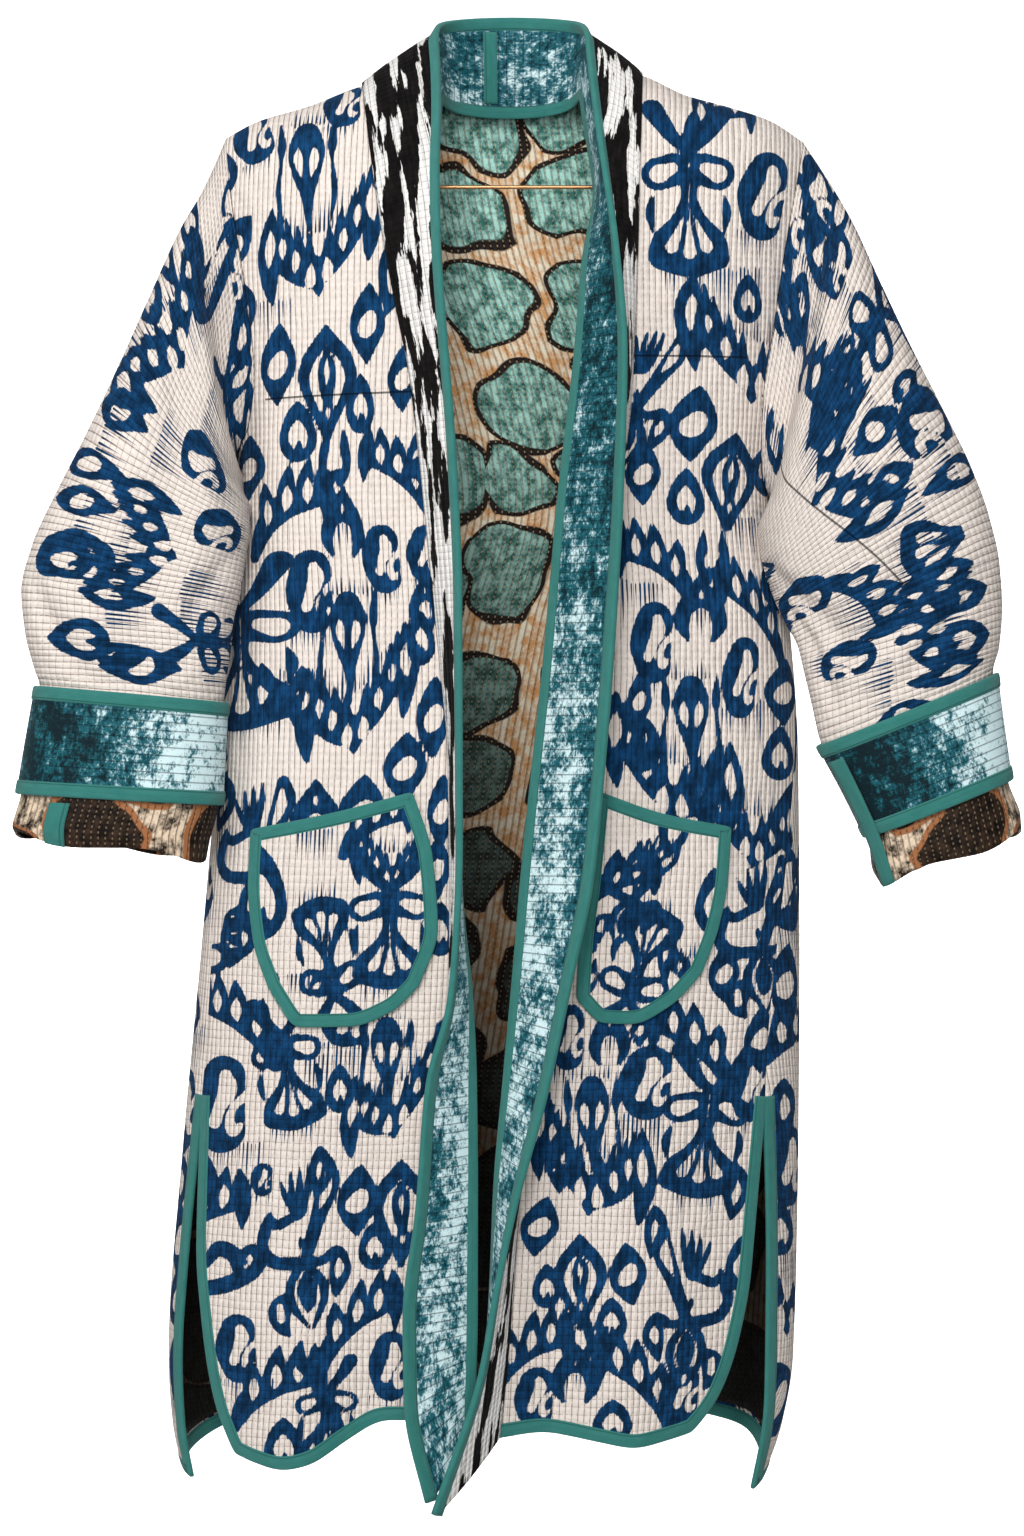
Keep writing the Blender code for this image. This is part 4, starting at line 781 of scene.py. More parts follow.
def back_grid(left, right, neck_columns):
    """Angles and heights of the back, from its left edge round to its right edge. Angles
    run on past -180, so the right edge is at its own angle less 360."""
    neck_left, neck_right = left[0, 0, 0], right[0, 0, 0]
    middle, half = (neck_left + neck_right) / 2, (neck_right - neck_left) / 2
    turn = np.pi * np.arange(1, neck_columns) / neck_columns
    level = left[0, 0, 2] + (right[0, 0, 2] - left[0, 0, 2]) * (1 - np.cos(turn)) / 2
    neck_z = level + (NECK_SEAM_Z - level) * np.sin(turn) ** 0.8
    left_top, right_top = left[0, ::-2], right[0, ::2]
    top_x = np.concatenate([left_top[:, 0], middle - half * np.cos(turn), right_top[:, 0]])
    top = np.concatenate([left_top[:, 2], neck_z, right_top[:, 2]])
    even = np.linspace(0, 1, len(top))

    def ends(z):
        """Angles of both edges."""
        a, b = edge_angle(LEFT, z, "back_slit"), edge_angle(RIGHT, z, "back_slit")
        a = np.where(z > LEFT["underarm"], -180 - a, a)
        b = np.where(z > RIGHT["underarm"], 180 - b, b)
        return a, b - 360

    start, stop = ends(top)
    at_top = ((-180 - body_angle(top_x, top)) - start) / (stop - start)

    def across(z):
        """Angles of one row: as spaced at the neck, then evenly from the underarms down."""
        start, stop = ends(z)
        blend = np.clip((top - z) / (top - RIGHT["underarm"]), 0, 1)
        blend = blend * blend * (3 - 2 * blend)
        share = at_top + (even - at_top) * blend
        first, last = softened(ends, z)
        first, last = start + (first - start) * blend, stop + (last - stop) * blend
        return (first + (last - first) * share + (start - first) * (1 - share) ** 5
                + (stop - last) * share**5)

    bottom = np.full(len(top), -960.0)
    for _ in range(6):
        wrapped = across(bottom)
        bottom = smooth1(BACK_HEM, np.where(wrapped < -180, wrapped + 360, wrapped))
    under = np.linspace(LEFT["underarm"], RIGHT["underarm"], len(top))
    heights = row_heights(top, under, bottom)
    return np.array([across(z) for z in heights]), heights


# The back repeats the same motifs in columns, every other column half a repeat lower.
BACK_COLUMN = {
    "crown": ((0, 0, 0.9, 0.95),), "tulip": ((0, 66, 0.9, 0.95),),
    "diamond": ((-38, 30, 1.0, 0.9),), "ring": ((36, 52, 1.0, 0.95),),
    "arch": ((-34, 140, 0.9, 0.95), (34, 140, -0.9, 0.95)),
    "comma": ((-30, 205, 1.0, 1.0, 5), (32, 208, -1.0, 1.0, -5)),
    "pomegranate": ((0, 238, 1.0, 1.0),),
}
BACK_MOTIFS = {name: [(side + x, top + y, *rest)
                      for column, side in enumerate(range(-790, -300, 108))
                      for top in range(-260 + 165 * (column % 2), 1100, 330)
                      for x, y, *rest in spots] for name, spots in BACK_COLUMN.items()}
SIDE_MOTIFS = {
    # on the back, where it comes round to the side seams
    "comma": ((-764, 315, 1.62, 1.04, -7), (-860, 547, 1.62, 1.04, -8),
        (-886, 760, 1.62, 1.03, -4), (-272, 540, 1.62, 1.17, 29), (-270, 719, 1.62, 1.04, 12),
        (-242, 916, 1.62, 1.05, -4)),
    "diamond": ((-794, 361, 1.62, 1.08, -30), (-871, 620, 1.62, 1.04, -10),
        (-888, 941, 1.62, 1.35, 47), (-286, 596, 1.62, 0.97, 19), (-258, 818, 1.62, 0.96, 23)),
    "fringe": ((-816, 400, 2.16, 1.89, -44), (-869, 593, 2.16, 1.25, -9),
        (-898, 848, 1.98, 1.24, -1), (-264, 680, 2.16, 1.26, 16)),
    "crown": ((-850, 447, 1.44, 0.93, -2), (-894, 887, 1.44, 0.93, -12)),
    "ring": ((-863, 501, 1.62, 0.94, -10), (-902, 809, 1.56, 0.93, -4),
        (-273, 642, 1.62, 0.96, 18), (-253, 864, 1.62, 0.92, 14)),
    "arch": ((-878, 663, 1.44, 0.93, -3),),
    "petal": ((-888, 713, 1.8, 1.04, -7), (-267, 773, 1.8, 1.06, 21)),
}
left_front, right_front = PANELS["left"][0], PANELS["right"][0]
angles, heights = back_grid(left_front, right_front, NECK_COLUMNS // 2)
count = FRONT_COLUMNS // 2 + 1          # columns of one shoulder
angles[0, :count] = -180 - body_angle(left_front[0, ::-2, 0], heights[0, :count])
angles[0, -count:] = -180 - body_angle(right_front[0, ::2, 0], heights[0, -count:])
back_outer, back_inward, back_cloth = new_panel(angles, heights)
coarse = slice(None, None, 2)
place = back_cloth[coarse]
back = cloth_piece("back_panel", back_outer[coarse], "back", IKAT, place,
                   -back_inward[coarse], dyed(place, BACK_MOTIFS, SIDE_MOTIFS), CLOTH)
middle = back_outer + back_inward * CLOTH / 2
corner, right_slit = middle[-4, [-4]], middle[SLIT_ROW:-1, -4][::-1]
beside = np.concatenate([hem_path(middle[:, ::-1], 3)[:-1], corner, right_slit])
edge = np.concatenate([eased(line, HEM_EASE)[part] for line, part in (
    (middle[SLIT_ROW:, 0], slice(None)), (middle[-1], slice(1, -1)),
    (middle[SLIT_ROW:, -1], slice(None, None, -1)))])
lift = -np.concatenate([hem_path(back_inward[:, ::-1])[:-1], back_inward[SLIT_ROW:, -1][::-1]])
hem = tape("back_hem_tape", edge, eased(beside - edge, HEM_EASE), lift, "hem_binding_back",
           wrap=HEM_WRAP)

# ================================================================ back lining
# One layer of printed lining against the back's inside, caught under its bindings; it shows
# through the neck, the open front and the slits, and stands up behind the facing.


def lining(name, ground, stone, outline, painted_shade, stitched=0.62):
    """Printed lining with a low gloss: stones of one colour with thick outlines on a mottled
    ground, run through with upright rows of small light stitches.
    Painted shade darkens it lower down, where little light reaches it: the stones from the first
    given depth down to the second, and the whole print from 220 mm below the first to 260 mm below
    the second."""
    made, add, across, along = cloth_material(name)
    place = stretched(add, across, along, 86, 76)
    bend = add("TexNoise", place, 1.6, 1.0, out=1)
    place = add("VectorMath MULTIPLY_ADD", bend, (0.5, 0.5, 0.5), place)
    near, after = (add("TexVoronoi " + feature, place, 1.0, 0.62, voronoi_dimensions="2D")
                   for feature in ("F1", "F2"))
    stone_in = add("Math MULTIPLY_ADD", add("Math SUBTRACT", after, near), 0.55,
                   add("Math SUBTRACT", 0.5, near))
    wash = grain(add, across, along, 10, 12, 5.0, 0.7)
    patch = add(RAMP, wash, 0.38, 0.62)
    between, inside = (add(MIX, patch, srgb(first), srgb(last)) for first, last in (ground, stone))
    # Painted shade: lower down, the stones darken towards the outline colour.
    inside = add(MIX, add(RAMP, along, painted_shade[0] * MM, painted_shade[1] * MM, 0.0, 0.86), inside,
                 srgb(outline))
    colour = add(MIX, add(RAMP, stone_in, 0.07, 0.10), between, srgb(outline))
    colour = add(MIX, add(RAMP, stone_in, 0.185, 0.215), colour, inside)
    row = groove(add, across, 5.4, 2.2)
    stitch = add("Math MULTIPLY", row, groove(add, along, 4.0, 3.0))
    # Painted shade: further down, the whole print darkens towards near black, where little light
    # reaches it.
    shade = add(RAMP, along, (painted_shade[0] + 220) * MM, (painted_shade[1] + 260) * MM, 0.0, 0.94)
    colour = add(MIX, add("Math MULTIPLY", row, 0.36), colour, srgb("21140F"))
    colour = add(MIX, add("Math MULTIPLY", stitch, stitched), colour, srgb("F0D5AE"))
    colour = add(MIX, shade, colour, srgb("0D0807"))
    dress(made, {"Base Color": colour, "Roughness": 0.5, SHINE: 0.12},
          add("Math SUBTRACT", wash, row), 1.0)
    return made


# Its last pair gives where its painted shade starts and ends, in millimetres down.
LINING = lining("printed lining", ("E3A468", "FFF3DA"), ("34736A", "BCEFE3"), "1C110D",
                (40, 600))
LINING_THICK = 1.0
LINING_CAUGHT = 5.0            # rows from its edge over which the tape holds it to the back
LINING_RISE = 14.0             # how far it goes up behind the facing at the neck
shown = (slice(0, -3, 2), slice(1, -1, 2))
rows_in, columns_in = (np.minimum(np.arange(n), np.arange(n)[::-1])
                       for n in back_outer.shape[:2])
rows_in = rows_in + 12 * (np.arange(len(back_outer)) < ARM)      # not caught at the neck
loose = np.clip(np.minimum(rows_in[:, None], columns_in[None]) / LINING_CAUGHT, 0, 1)
skin = (back_outer + back_inward * (CLOTH + 1.5 * loose[..., None] + LINING_THICK))[shown]
neck_middle = (count + (back_outer.shape[1] - 2 * count) / 2 - 1) / 2
off = (np.arange(skin.shape[1]) - neck_middle) / NECK_COLUMNS * 8
rise = (LINING_RISE * np.exp(-(off**6)))[None, :, None]
skin = np.concatenate([skin[:1] + rise * (0, 0, 1), skin])
place = back_cloth[shown]
place = np.concatenate([place[:1] - rise * (0, 1), place])
facing_in = back_inward[shown]
made = cloth_piece("back_lining", skin, "lining_back", LINING, place,
                   np.concatenate([facing_in[:1], facing_in]), (), LINING_THICK)

# ================================================================ sleeves
# Wide tubes of the same quilted cotton, set into the armholes and ending just inside the
# cuffs. Each runs from a ring on the armhole through a table of sections, and is pressed
# into the long soft valleys of a bent arm's cloth.
SLEEVES = {
    "left": (
        # outer x, z, inner x, z, middle y, half depth
        (-246, -4, -222, -217, -10, 46), (-264, -42, -214, -228, -30, 53),
        (-286, -93, -213, -240, -36, 56), (-311, -152, -207, -254, -46, 57),
        (-334, -202, -207, -272, -52, 56), (-356, -246, -210, -292, -56, 53),
        (-373, -284, -213, -316, -58, 50), (-381, -318, -219, -340, -58, 48),
        (-378, -350, -221, -362, -58, 46), (-371, -378, -225, -388, -57, 43),
    ),
    "right": (
        (240, 2, 196, -252, -10, 46), (257, -34, 187, -259, -30, 53),
        (276, -78, 182, -271, -38, 56), (298, -127, 184, -286, -46, 57),
        (321, -174, 187, -304, -52, 56), (343, -220, 193, -322, -56, 53),
        (358, -261, 202, -341, -58, 50), (366, -298, 212, -360, -58, 48),
        (368, -331, 217, -380, -58, 46), (366, -360, 223, -405, -57, 43),
    ),
}
CUFFS = {
    "left": ((-371, -391, -223, -404, -56, 45), (-378, -430, -225, -440, -56, 46),
             (-385, -472, -227, -481, -56, 47)),
    "right": ((365, -381, 227, -437, -56, 45), (370, -420, 245, -470, -56, 46),
              (376, -461, 263, -506, -56, 47)),
}
VALLEYS = {
    # ((ring, angle round the section), ...), half width in degrees, depth
    "left": ((((2.0, 76), (3.7, 88), (5.6, 98), (8.2, 100), (11.0, 90)), 17, 10.0),
             (((7.5, 30), (9.0, 52), (10.6, 70)), 11, 5.0),
             (((6.0, 150), (7.6, 132), (9.8, 120)), 10, 4.0)),
    "right": ((((4.5, 172), (6.5, 150), (9.5, 116)), 13, 9.0),
              (((5.4, 178), (7.6, 160), (10.4, 140)), 9, 6.0),
              (((6.5, 76), (8.0, 90), (9.5, 116)), 13, 8.0),
              (((8.2, 50), (9.2, 74), (10.4, 96)), 9, 4.0)),
}
TUCK = 3.8                     # how far a sleeve's end stands inside its cuff
ARM_CROSS = 0.8                # strength of the quilting across the warp on the arms
SHARES = np.arange(2 * ARM) / (2 * ARM)


def section(row):
    """Closed section of an arm: middle + cos^k * half chord in x and z, sin^k * depth in y,
    from its outer edge over the front to its inner edge and back."""
    outer_x, outer_z, inner_x, inner_z, y, depth = row
    cos, sin = (squared(wave(2 * np.pi * SHARES), 0.9) for wave in (np.cos, np.sin))
    return together((outer_x + inner_x) / 2 + cos * (outer_x - inner_x) / 2, y - sin * depth,
                    (outer_z + inner_z) / 2 + cos * (outer_z - inner_z) / 2)


def drawn_out(rings, count):
    """A tube's rings with `count` rings to each step between them."""
    rings = np.asarray(rings)
    table = np.column_stack([np.arange(len(rings)), rings.reshape(len(rings), -1)])
    at = np.linspace(0, len(rings) - 1, (len(rings) - 1) * count + 1)
    return smooth(table, at).reshape(len(at), *rings.shape[1:]), at


def tube_inward(grid):
    """Unit direction from a closed tube's points into it."""
    normal = unit(np.cross(np.roll(grid, -1, axis=1) - np.roll(grid, 1, axis=1),
                           np.gradient(grid, axis=0)))
    centre = grid.mean(axis=1, keepdims=True)
    return normal if np.sum(normal * (centre - grid), axis=-1).mean() > 0 else -normal


def opened(grid):
    """A tube's columns from its back round to its back again, so that its cloth has edges."""
    start = grid.shape[1] * 3 // 4
    return np.concatenate([grid[:, start:], grid[:, :start + 1]], axis=1)


def outside(grid):
    """Directions from a tube's middle line to its points."""
    return grid - grid[:, :-1].mean(axis=1, keepdims=True)


def tube_cloth(grid):
    """Place in the cloth of an opened tube: round it from its front, and down it."""
    around = run_along(grid, 1)
    around -= around[:, around.shape[1] // 2][:, None]
    return together(around, run_along(grid.mean(axis=1))[:, None])


SLEEVE_MOTIFS = {
    # places down the sleeve and round it from its front, width, height
    "left": {
        "comma": ((37, -26, 1.27, 1.3, 90), (144, 31, 1.48, 0.75), (200, 58, 1.37, 0.71),
            (253, -45, 1.08, 1.1), (0, -48, 1.1, 0.75), (0, 0, 0.93, 1.03)),
        "lily": ((34, 56, 0.99, 0.96), (304, 56, 0.83, 0.85)),
        "crown": ((103, -18, 1.07, 0.97), (238, 28, 0.94, 0.81)),
        "diamond": ((195, -62, 0.67, 1.3), (217, -53, 0.73, 1.01), (60, -97, 0.87, 1.6),
            (160, -53, 0.89, 0.98), (8, 112, 0.81, 1.06), (328, 12, 1.1, 1)),
        "ring": ((311, -34, 1.16, 1.14), (107, -92, 0.73, 1.6), (11, 43, 0.84, 1.12),
            (257, -52, 0.9, 1.16)),
        "petal": ((321, -3, 1.11, 1), (87, -108, 0.76, 2.2)),
        "fringe": ((174, -41, 0.95, 1.16), (55, -5, 1.81, 1.35), (94, 47, 2.02, 1.31),
            (137, 65, 2.14, 1.59), (133, -79, 0.92, 2.6), (229, -31, 1.27, 1.13),
            (278, 10, 1.53, 1.2), (268, 68, 1.73, 1.41), (317, 98, 1.49, 2.2),
            (156, 8, 1.55, 1.21)),
    },
    "right": {
        "comma": ((25, -108, 1.3, 0.92), (41, -69, 1.37, 0.82), (171, -75, 1.13, 1.04),
            (225, 82, 1.27, 1.03), (3, 7, 0.92, 0.72), (295, 51, 0.89, 0.81),
            (0, -63, 1.17, 1.06), (60, -76, 1.01, 0.9)),
        "lily": ((109, -90, 0.73, 1.37),),
        "crown": ((152, 39, 1.12, 0.95), (294, 7, 0.86, 0.9), (48, 30, 1.63, 1.03)),
        "bell": ((239, -44, 0.87, 1.04),),
        "petal": ((278, -23, 1.12, 1.1), (277, -45, 1.06, 1.21)),
        "ring": ((148, -74, 0.54, 0.79), (309, -44, 1.19, 1), (100, -41, 0.48, 0.53),
            (28, -13, 1, 1.13)),
        "diamond": ((152, -30, 1, 0.83), (185, -23, 0.81, 0.72), (206, -83, 0.68, 1.39),
            (0, -20, 0.94, 0.93), (349, 7, 0.79, 0.8), (54, -123, 0.76, 1.8)),
        "arch": ((255, 25, 0.98, 0.9),),
        "twin": ((22, 96, 0.89, 0.93),),
        "fringe": ((67, -50, 1.48, 1.37), (135, -96, 0.9, 2.4), (122, -21, 1.36, 1.22),
            (120, 42, 1.66, 1.21), (215, -16, 1.32, 1.32), (198, -60, 1.02, 1.18),
            (250, 45, 1.76, 1.27), (323, 33, 1.31, 1.01), (19, 107, 1.19, 1.25),
            (30, 15, 1.21, 1.23)),
    },
}
# the same cloth goes on round the back of both arms
ARM_BACK = {
    "crown": ((28, 186, 1.0, 0.9), (206, 168, 1.0, 0.9)),
    "comma": ((78, 152, 1.1, 0.9), (252, 204, 1.1, 0.9)),
    "ring": ((84, 222, 0.9, 1.0), (304, 150, 1.0, 1.0)),
    "lily": ((128, 184, 0.9, 0.9), (318, 198, 0.8, 0.8)),
    "diamond": ((172, 222, 0.8, 1.0),), "petal": ((258, 142, 0.8, 1.0),),
    "fringe": ((150, 148, 1.4, 1.2), (58, 244, 1.5, 1.3), (226, 226, 1.4, 1.2),
               (282, 176, 1.4, 1.2)),
}
ARM_BACK_MOTIFS = {name: [(down, side * around, *rest) for side in (-1, 1)
                          for down, around, *rest in spots] for name, spots in ARM_BACK.items()}
ARM_PIECED = {"right": ((28, 100), (256, -4))}
for name, back_edge in (("left", 0), ("right", -1)):
    cuff = np.stack([section(row) for row in CUFFS[name]])
    inside = cuff + tube_inward(cuff) * TUCK
    tucked = [inside[0], inside[0] + (inside[1] - inside[0]) * 0.8]
    first = np.concatenate([PANELS[name][0][:ARM + 1, -1],
                            back_outer[ARM - 1:0:-1, back_edge]])
    rings, at = drawn_out([first, *[section(row) for row in SLEEVES[name]], *tucked], 13)
    inward = tube_inward(rings)
    for line, half, depth in VALLEYS[name]:
        share = np.clip((at - line[0][0]) / (line[-1][0] - line[0][0]), 0, 1)
        off = 360 * SHARES[None] - smooth1(line, at)[:, None]
        valley = depth * np.sqrt(np.sin(np.pi * share))[:, None] * np.exp(-((off / half) ** 2))
        rings = rings + inward * valley[..., None]
    rings = opened(rings)
    place = tube_cloth(rings)[..., ::-1]          # the warp runs round the arm
    fields = dyed(place, SLEEVE_MOTIFS[name], ARM_BACK_MOTIFS)
    fields["cross"] = np.full(place.shape[:2], ARM_CROSS)
    if name in ARM_PIECED:
        fields["join"] = joined(place, *ARM_PIECED[name])
    made = cloth_piece(f"{name}_sleeve", rings, f"sleeve_{name}", IKAT, place,
                       outside(rings), fields, CLOTH)

# ================================================================ cuffs and sleeve ends
# Bands of quilted crushed velvet, turned back over each sleeve's end and bound with tape at
# both edges; below them the sleeve's own printed lining shows, turned out.
CUFF, END_WAVE = 2.0, 3.0      # thickness, and how far the turned lining's edge waves
CUFF_WRAP = 0.8
ENDS = {
    "left": ((-388, -497, -237, -507, -56, 42), (-386, -504, -240, -523, -56, 40)),
    "right": ((382, -488, 269, -529, -56, 42), (383, -502, 275, -541, -56, 40)),
}


def velvet():
    """Crushed velvet, dark where the pile faces the light and near white where it lies over:
    streaks and patches of the crushed pile, their bright ends a painted highlight, with more of it
    where the drawn painted sheen is high, between rows of stitching."""
    made, add, across, along = cloth_material("crushed teal velvet")
    crush = grain(add, across, along, 2.2, 3.8, 4.0, 0.75)
    lay = add("Attribute lay")
    for pile, share in ((grain(add, across, along, 20, 28, 2.0, 0.55), 2.3),
                        (grain(add, across, along, 6.5, 9.0, 3.0, 0.6), 2.2), (crush, 2.8)):
        lay = add("Math MULTIPLY_ADD", add("Math SUBTRACT", pile, 0.5), share, lay)
    # dark teal to mid teal, then up to a near-white painted highlight
    colour = add(MIX, add(RAMP, lay, -0.7, 0.1), srgb("021C24"), srgb("17626F"))
    colour = add(MIX, add(RAMP, lay, 0.0, 0.75), colour, srgb("D8F1F5"))
    row = groove(add, along, 6.4, 1.4)
    colour = add(MIX, add("Math MULTIPLY", row, 0.45), colour, srgb("06303A"))
    dress(made, {"Base Color": colour, "Roughness": 0.5, "Sheen Weight": 0.15,
                 "Sheen Tint": srgb("A9DCE4"), SHINE: 0.12},
          add("Math SUBTRACT", crush, row), 0.8)
    return made


VELVET = velvet()
# The turned sleeve lining: its near-white ground patches are painted highlights on the crinkled
# cloth, and its copper outlines are print with a painted bronze sheen.
LINING_END = lining("printed lining, dark side", ("1B120E", "F0D8BD"), ("0C0807", "3A2A20"),
                    "A56B45", (900, 1000), 0.3)
# painted light round each cuff, dark on one side and a painted highlight on the other: where it
# turns, over what half width, how much
CUFF_SHEEN = {"left": (5, 45, 0.6), "right": (-10, -50, 0.75)}
# each cuff's rings with its sleeve end's rings, and each cuff's pieces: the cuff, then its two
# tapes
TAB_RINGS, CUFF_PIECES = {}, {}
for name in ("left", "right"):
    rings, at = drawn_out([section(row) for row in CUFFS[name]], 16)
    inward = tube_inward(rings)
    shown = opened(rings)
    place = tube_cloth(shown)
    middle, half, much = CUFF_SHEEN[name]
    # painted light: dark on one side of the cuff, a painted highlight on the other
    lay = np.clip((place[..., 0] - middle) / half, -1, 1) * much + 0.07
    made = cloth_piece(f"{name}_cuff", shown, f"cuff_{name}", VELVET, place,
                       outside(shown), {"lay": lay}, CUFF)
    CUFF_PIECES[name] = [made]
    for end, edge, beside in (("upper", 0, 4), ("lower", -1, -5)):
        CUFF_PIECES[name].append(tape(
            f"{name}_cuff_tape_{end}", rings[edge] + inward[edge] * CUFF / 2,
            rings[beside] - rings[edge], -inward[edge], f"cuff_{end}_binding_{name}",
            wrap=CUFF_WRAP, closed=True))
    inside = rings + inward * TUCK
    below = [section(row) for row in ENDS[name]]
    below[-1][:, 2] += END_WAVE * np.sin(8 * np.pi * SHARES)
    ends, at = drawn_out([inside[16], inside[-1], *below], 12)
    shown = opened(ends)
    place = tube_cloth(shown)
    made = cloth_piece(f"{name}_sleeve_end", shown, f"sleeve_end_{name}",
                       LINING_END, place, outside(shown), (), CUFF)
    TAB_RINGS[name] = rings, ends

# ================================================================ front band
# A quilted black and white band from the body's seam to the robe's free edge, backed by a
# velvet facing that turns in; tape binds the free edge and the facing's inner edge.
BAND_LEFT = (
    # seam z, free x, y, z, inner x, y, z
    (78, -65, -2, 125, -61, 8, 68), (60, -62, -25, 90, -62, -6, 52),
    (30, -61, -52, 52, -64, -22, 24), (-10, -62, -78, 5, -68, -42, -12),
    (-60, -61, -98, -52, -69, -56, -60), (-107, -58, -108, -103, -66, -64, -107),
    (-225, -49, -116, -224, -57, -74, -225), (-326, -45, -118, -326, -53, -78, -326),
    (-440, -45, -120, -440, -50, -82, -440), (-516, -45, -121, -516, -47, -84, -516),
    (-575, -48, -121, -575, -42, -86, -575), (-626, -53, -120, -628, -36, -88, -626),
    (-688, -70, -118, -690, -33, -90, -688), (-779, -78, -114, -784, -32, -91, -779),
    (-860, -88, -110, -870, -32, -91, -864), (-905, -87, -108, -935, -33, -91, -910),
    (-946, -71, -105, -1007, -35, -91, -952),
)
BAND_RIGHT = (
    (86, 51, -2, 125, 47, 8, 72), (60, 53, -26, 92, 49, -6, 52),
    (30, 57, -52, 52, 53, -22, 24), (-10, 63, -78, 5, 57, -42, -12),
    (-60, 72, -98, -55, 48, -58, -60), (-140, 79, -110, -138, 41, -66, -140),
    (-251, 76, -118, -251, 28, -74, -251), (-309, 73, -120, -309, 23, -76, -309),
    (-387, 68, -121, -387, 16, -78, -387), (-460, 62, -122, -460, 8, -80, -460),
    (-539, 54, -122, -539, 0, -82, -539), (-600, 40, -121, -605, -5, -84, -600),
    (-689, 19, -120, -700, -13, -86, -689), (-780, -4, -120, -782, -20, -89, -772),
    (-830, -17, -121, -840, -22, -91, -832), (-896, -31, -122, -912, -25, -93, -898),
    (-959, -66, -123, -1011, -30, -96, -962),
)
NECK_FREE, NECK_INNER = (-7, 45, 142), (-7, 46, 61)
BAND, BAND_RAISE, BAND_BOW, FACING_BOW = 1.6, 1.3, 4.0, 3.0
EDGE_THICK, FLAT_THICK = 5.2, 3.0      # tape over both layers, and over one
HELD = 6.0                             # how far inside a tape its cloth's edge lies


def flames(add, across, along):
    """Tall jagged flames, from two noises stretched along the warp."""
    tall = grain(add, across, along, 13, 74, 1.0)
    split = grain(add, across, along, 4.5, 30, 3.0, 0.65)
    both = add("Math MULTIPLY_ADD", tall, 0.68, add("Math MULTIPLY", split, 0.32))
    both = add("Math SUBTRACT", both, add("Attribute dense"))
    return add("Math MULTIPLY", add("Math SUBTRACT", both, 0.47), 42.0)


FLAME = ikat("black and white ikat cotton", flames, ("F6F5F3", "DAD7D4"),
             ("0A0909", "1C1919", "030303"), "77726E", 5.2, 5.2, (-900, -800))
# Painted highlight on the facing's pile: how brightly it lies over, from the left hem round the
# neck to the right hem
FACING_SHEEN = ((0, 0.25), (0.12, 0.35), (0.2, 0.3), (0.3, 0.1), (0.44, 0.0), (0.5, 0.05),
              (0.56, 0.0), (0.62, -0.2), (0.68, -0.1), (0.74, 0.15), (0.86, 0.3), (1.0, 0.2))


def strip(start, stop, side, bow, cells, lift):
    """Grid across a strip from start to stop: a quadratic bowed towards `side`, moved out
    by `lift`."""
    t = np.linspace(0, 1, cells + 1)[None, :, None]
    middle = (start + stop) / 2 + side * bow
    grid = (1 - t) ** 2 * start[:, None] + 2 * t * (1 - t) * middle[:, None] + t**2 * stop[:, None]
    normal = grid_normal(grid)
    normal *= np.sign(np.sum(normal * side[:, None], axis=-1, keepdims=True))
    return grid + normal * lift


def run_cloth(grid):
    """Place in the cloth of a long strip: across it from its seam, and along it."""
    return together(run_along(grid, 1), run_along(grid[:, 0])[:, None])


left_outer, left_inward, _ = PANELS["left"]
right_outer, right_inward, _ = PANELS["right"]
left_seam, right_seam = left_outer[::-1, 0], right_outer[:, 0]
left_rows, right_rows = smooth(BAND_LEFT, left_seam[:, 2]), smooth(BAND_RIGHT, right_seam[:, 2])
neck, neck_inward = back_outer[0, count:-count], back_inward[0, count:-count]
turn = np.arange(1, len(neck) + 1) / (len(neck) + 1)
level = left_rows[-1] + (right_rows[0] - left_rows[-1]) * ((1 - np.cos(np.pi * turn)) / 2)[:, None]
target = np.tile(np.array([*NECK_FREE, *NECK_INNER], float), (len(neck), 1))
target[:, [0, 3]] = level[:, [0, 3]]
neck_rows = level + (target - level) * np.sin(np.pi * turn)[:, None] ** 0.7
seam = np.concatenate([left_seam, neck, right_seam]) - BAND_RAISE * np.concatenate(
    [left_inward[::-1, 0], neck_inward, right_inward[:, 0]])
rows = np.concatenate([left_rows, neck_rows, right_rows])
rows = eased(rows, 10)
free, inner = rows[:, :3], rows[:, 3:]
along = unit(np.gradient(free, axis=0))
across = unit((seam + inner) / 2 - free)
across = unit(across - along * np.sum(across * along, axis=1, keepdims=True))
side = np.cross(along, across)
side = unit(side * np.sign(np.sum(side * (seam - inner), axis=1, keepdims=True)))
edge_tape = tape("front_edge_tape", free, across, side, "edge_binding", thick=EDGE_THICK)
hold = free + across * HELD
band = strip(seam, hold, side, BAND_BOW, 16, 1.2)
band_place = run_cloth(band)
dense = 0.09 * np.exp(-((band_place[..., 1] / band_place[-1, 0, 1] - 0.5) / 0.16) ** 2)
made = cloth_piece("ikat_band", band, "front_band", FLAME, band_place,
                   side[:, None], {"dense": dense}, BAND)
turn_in = unit(hold - inner)
inner_tape = tape("facing_tape", inner, turn_in, side, "facing_binding", thick=FLAT_THICK)
facing = strip(inner + turn_in * HELD, hold, -side, FACING_BOW, 14, 1.0)
facing_place = run_cloth(facing)
run = facing_place[:, :1, 1] / facing_place[-1, 0, 1]
across_share = np.linspace(0, 1, facing.shape[1])[None]
# painted highlight, stronger towards the facing's inner edge
facing_sheen = smooth1(FACING_SHEEN, run) + 0.35 * (0.5 - across_share)
facing_piece = cloth_piece("velvet_facing", facing, "band_facing", VELVET,
                           facing_place, -side[:, None], {"lay": facing_sheen}, BAND)

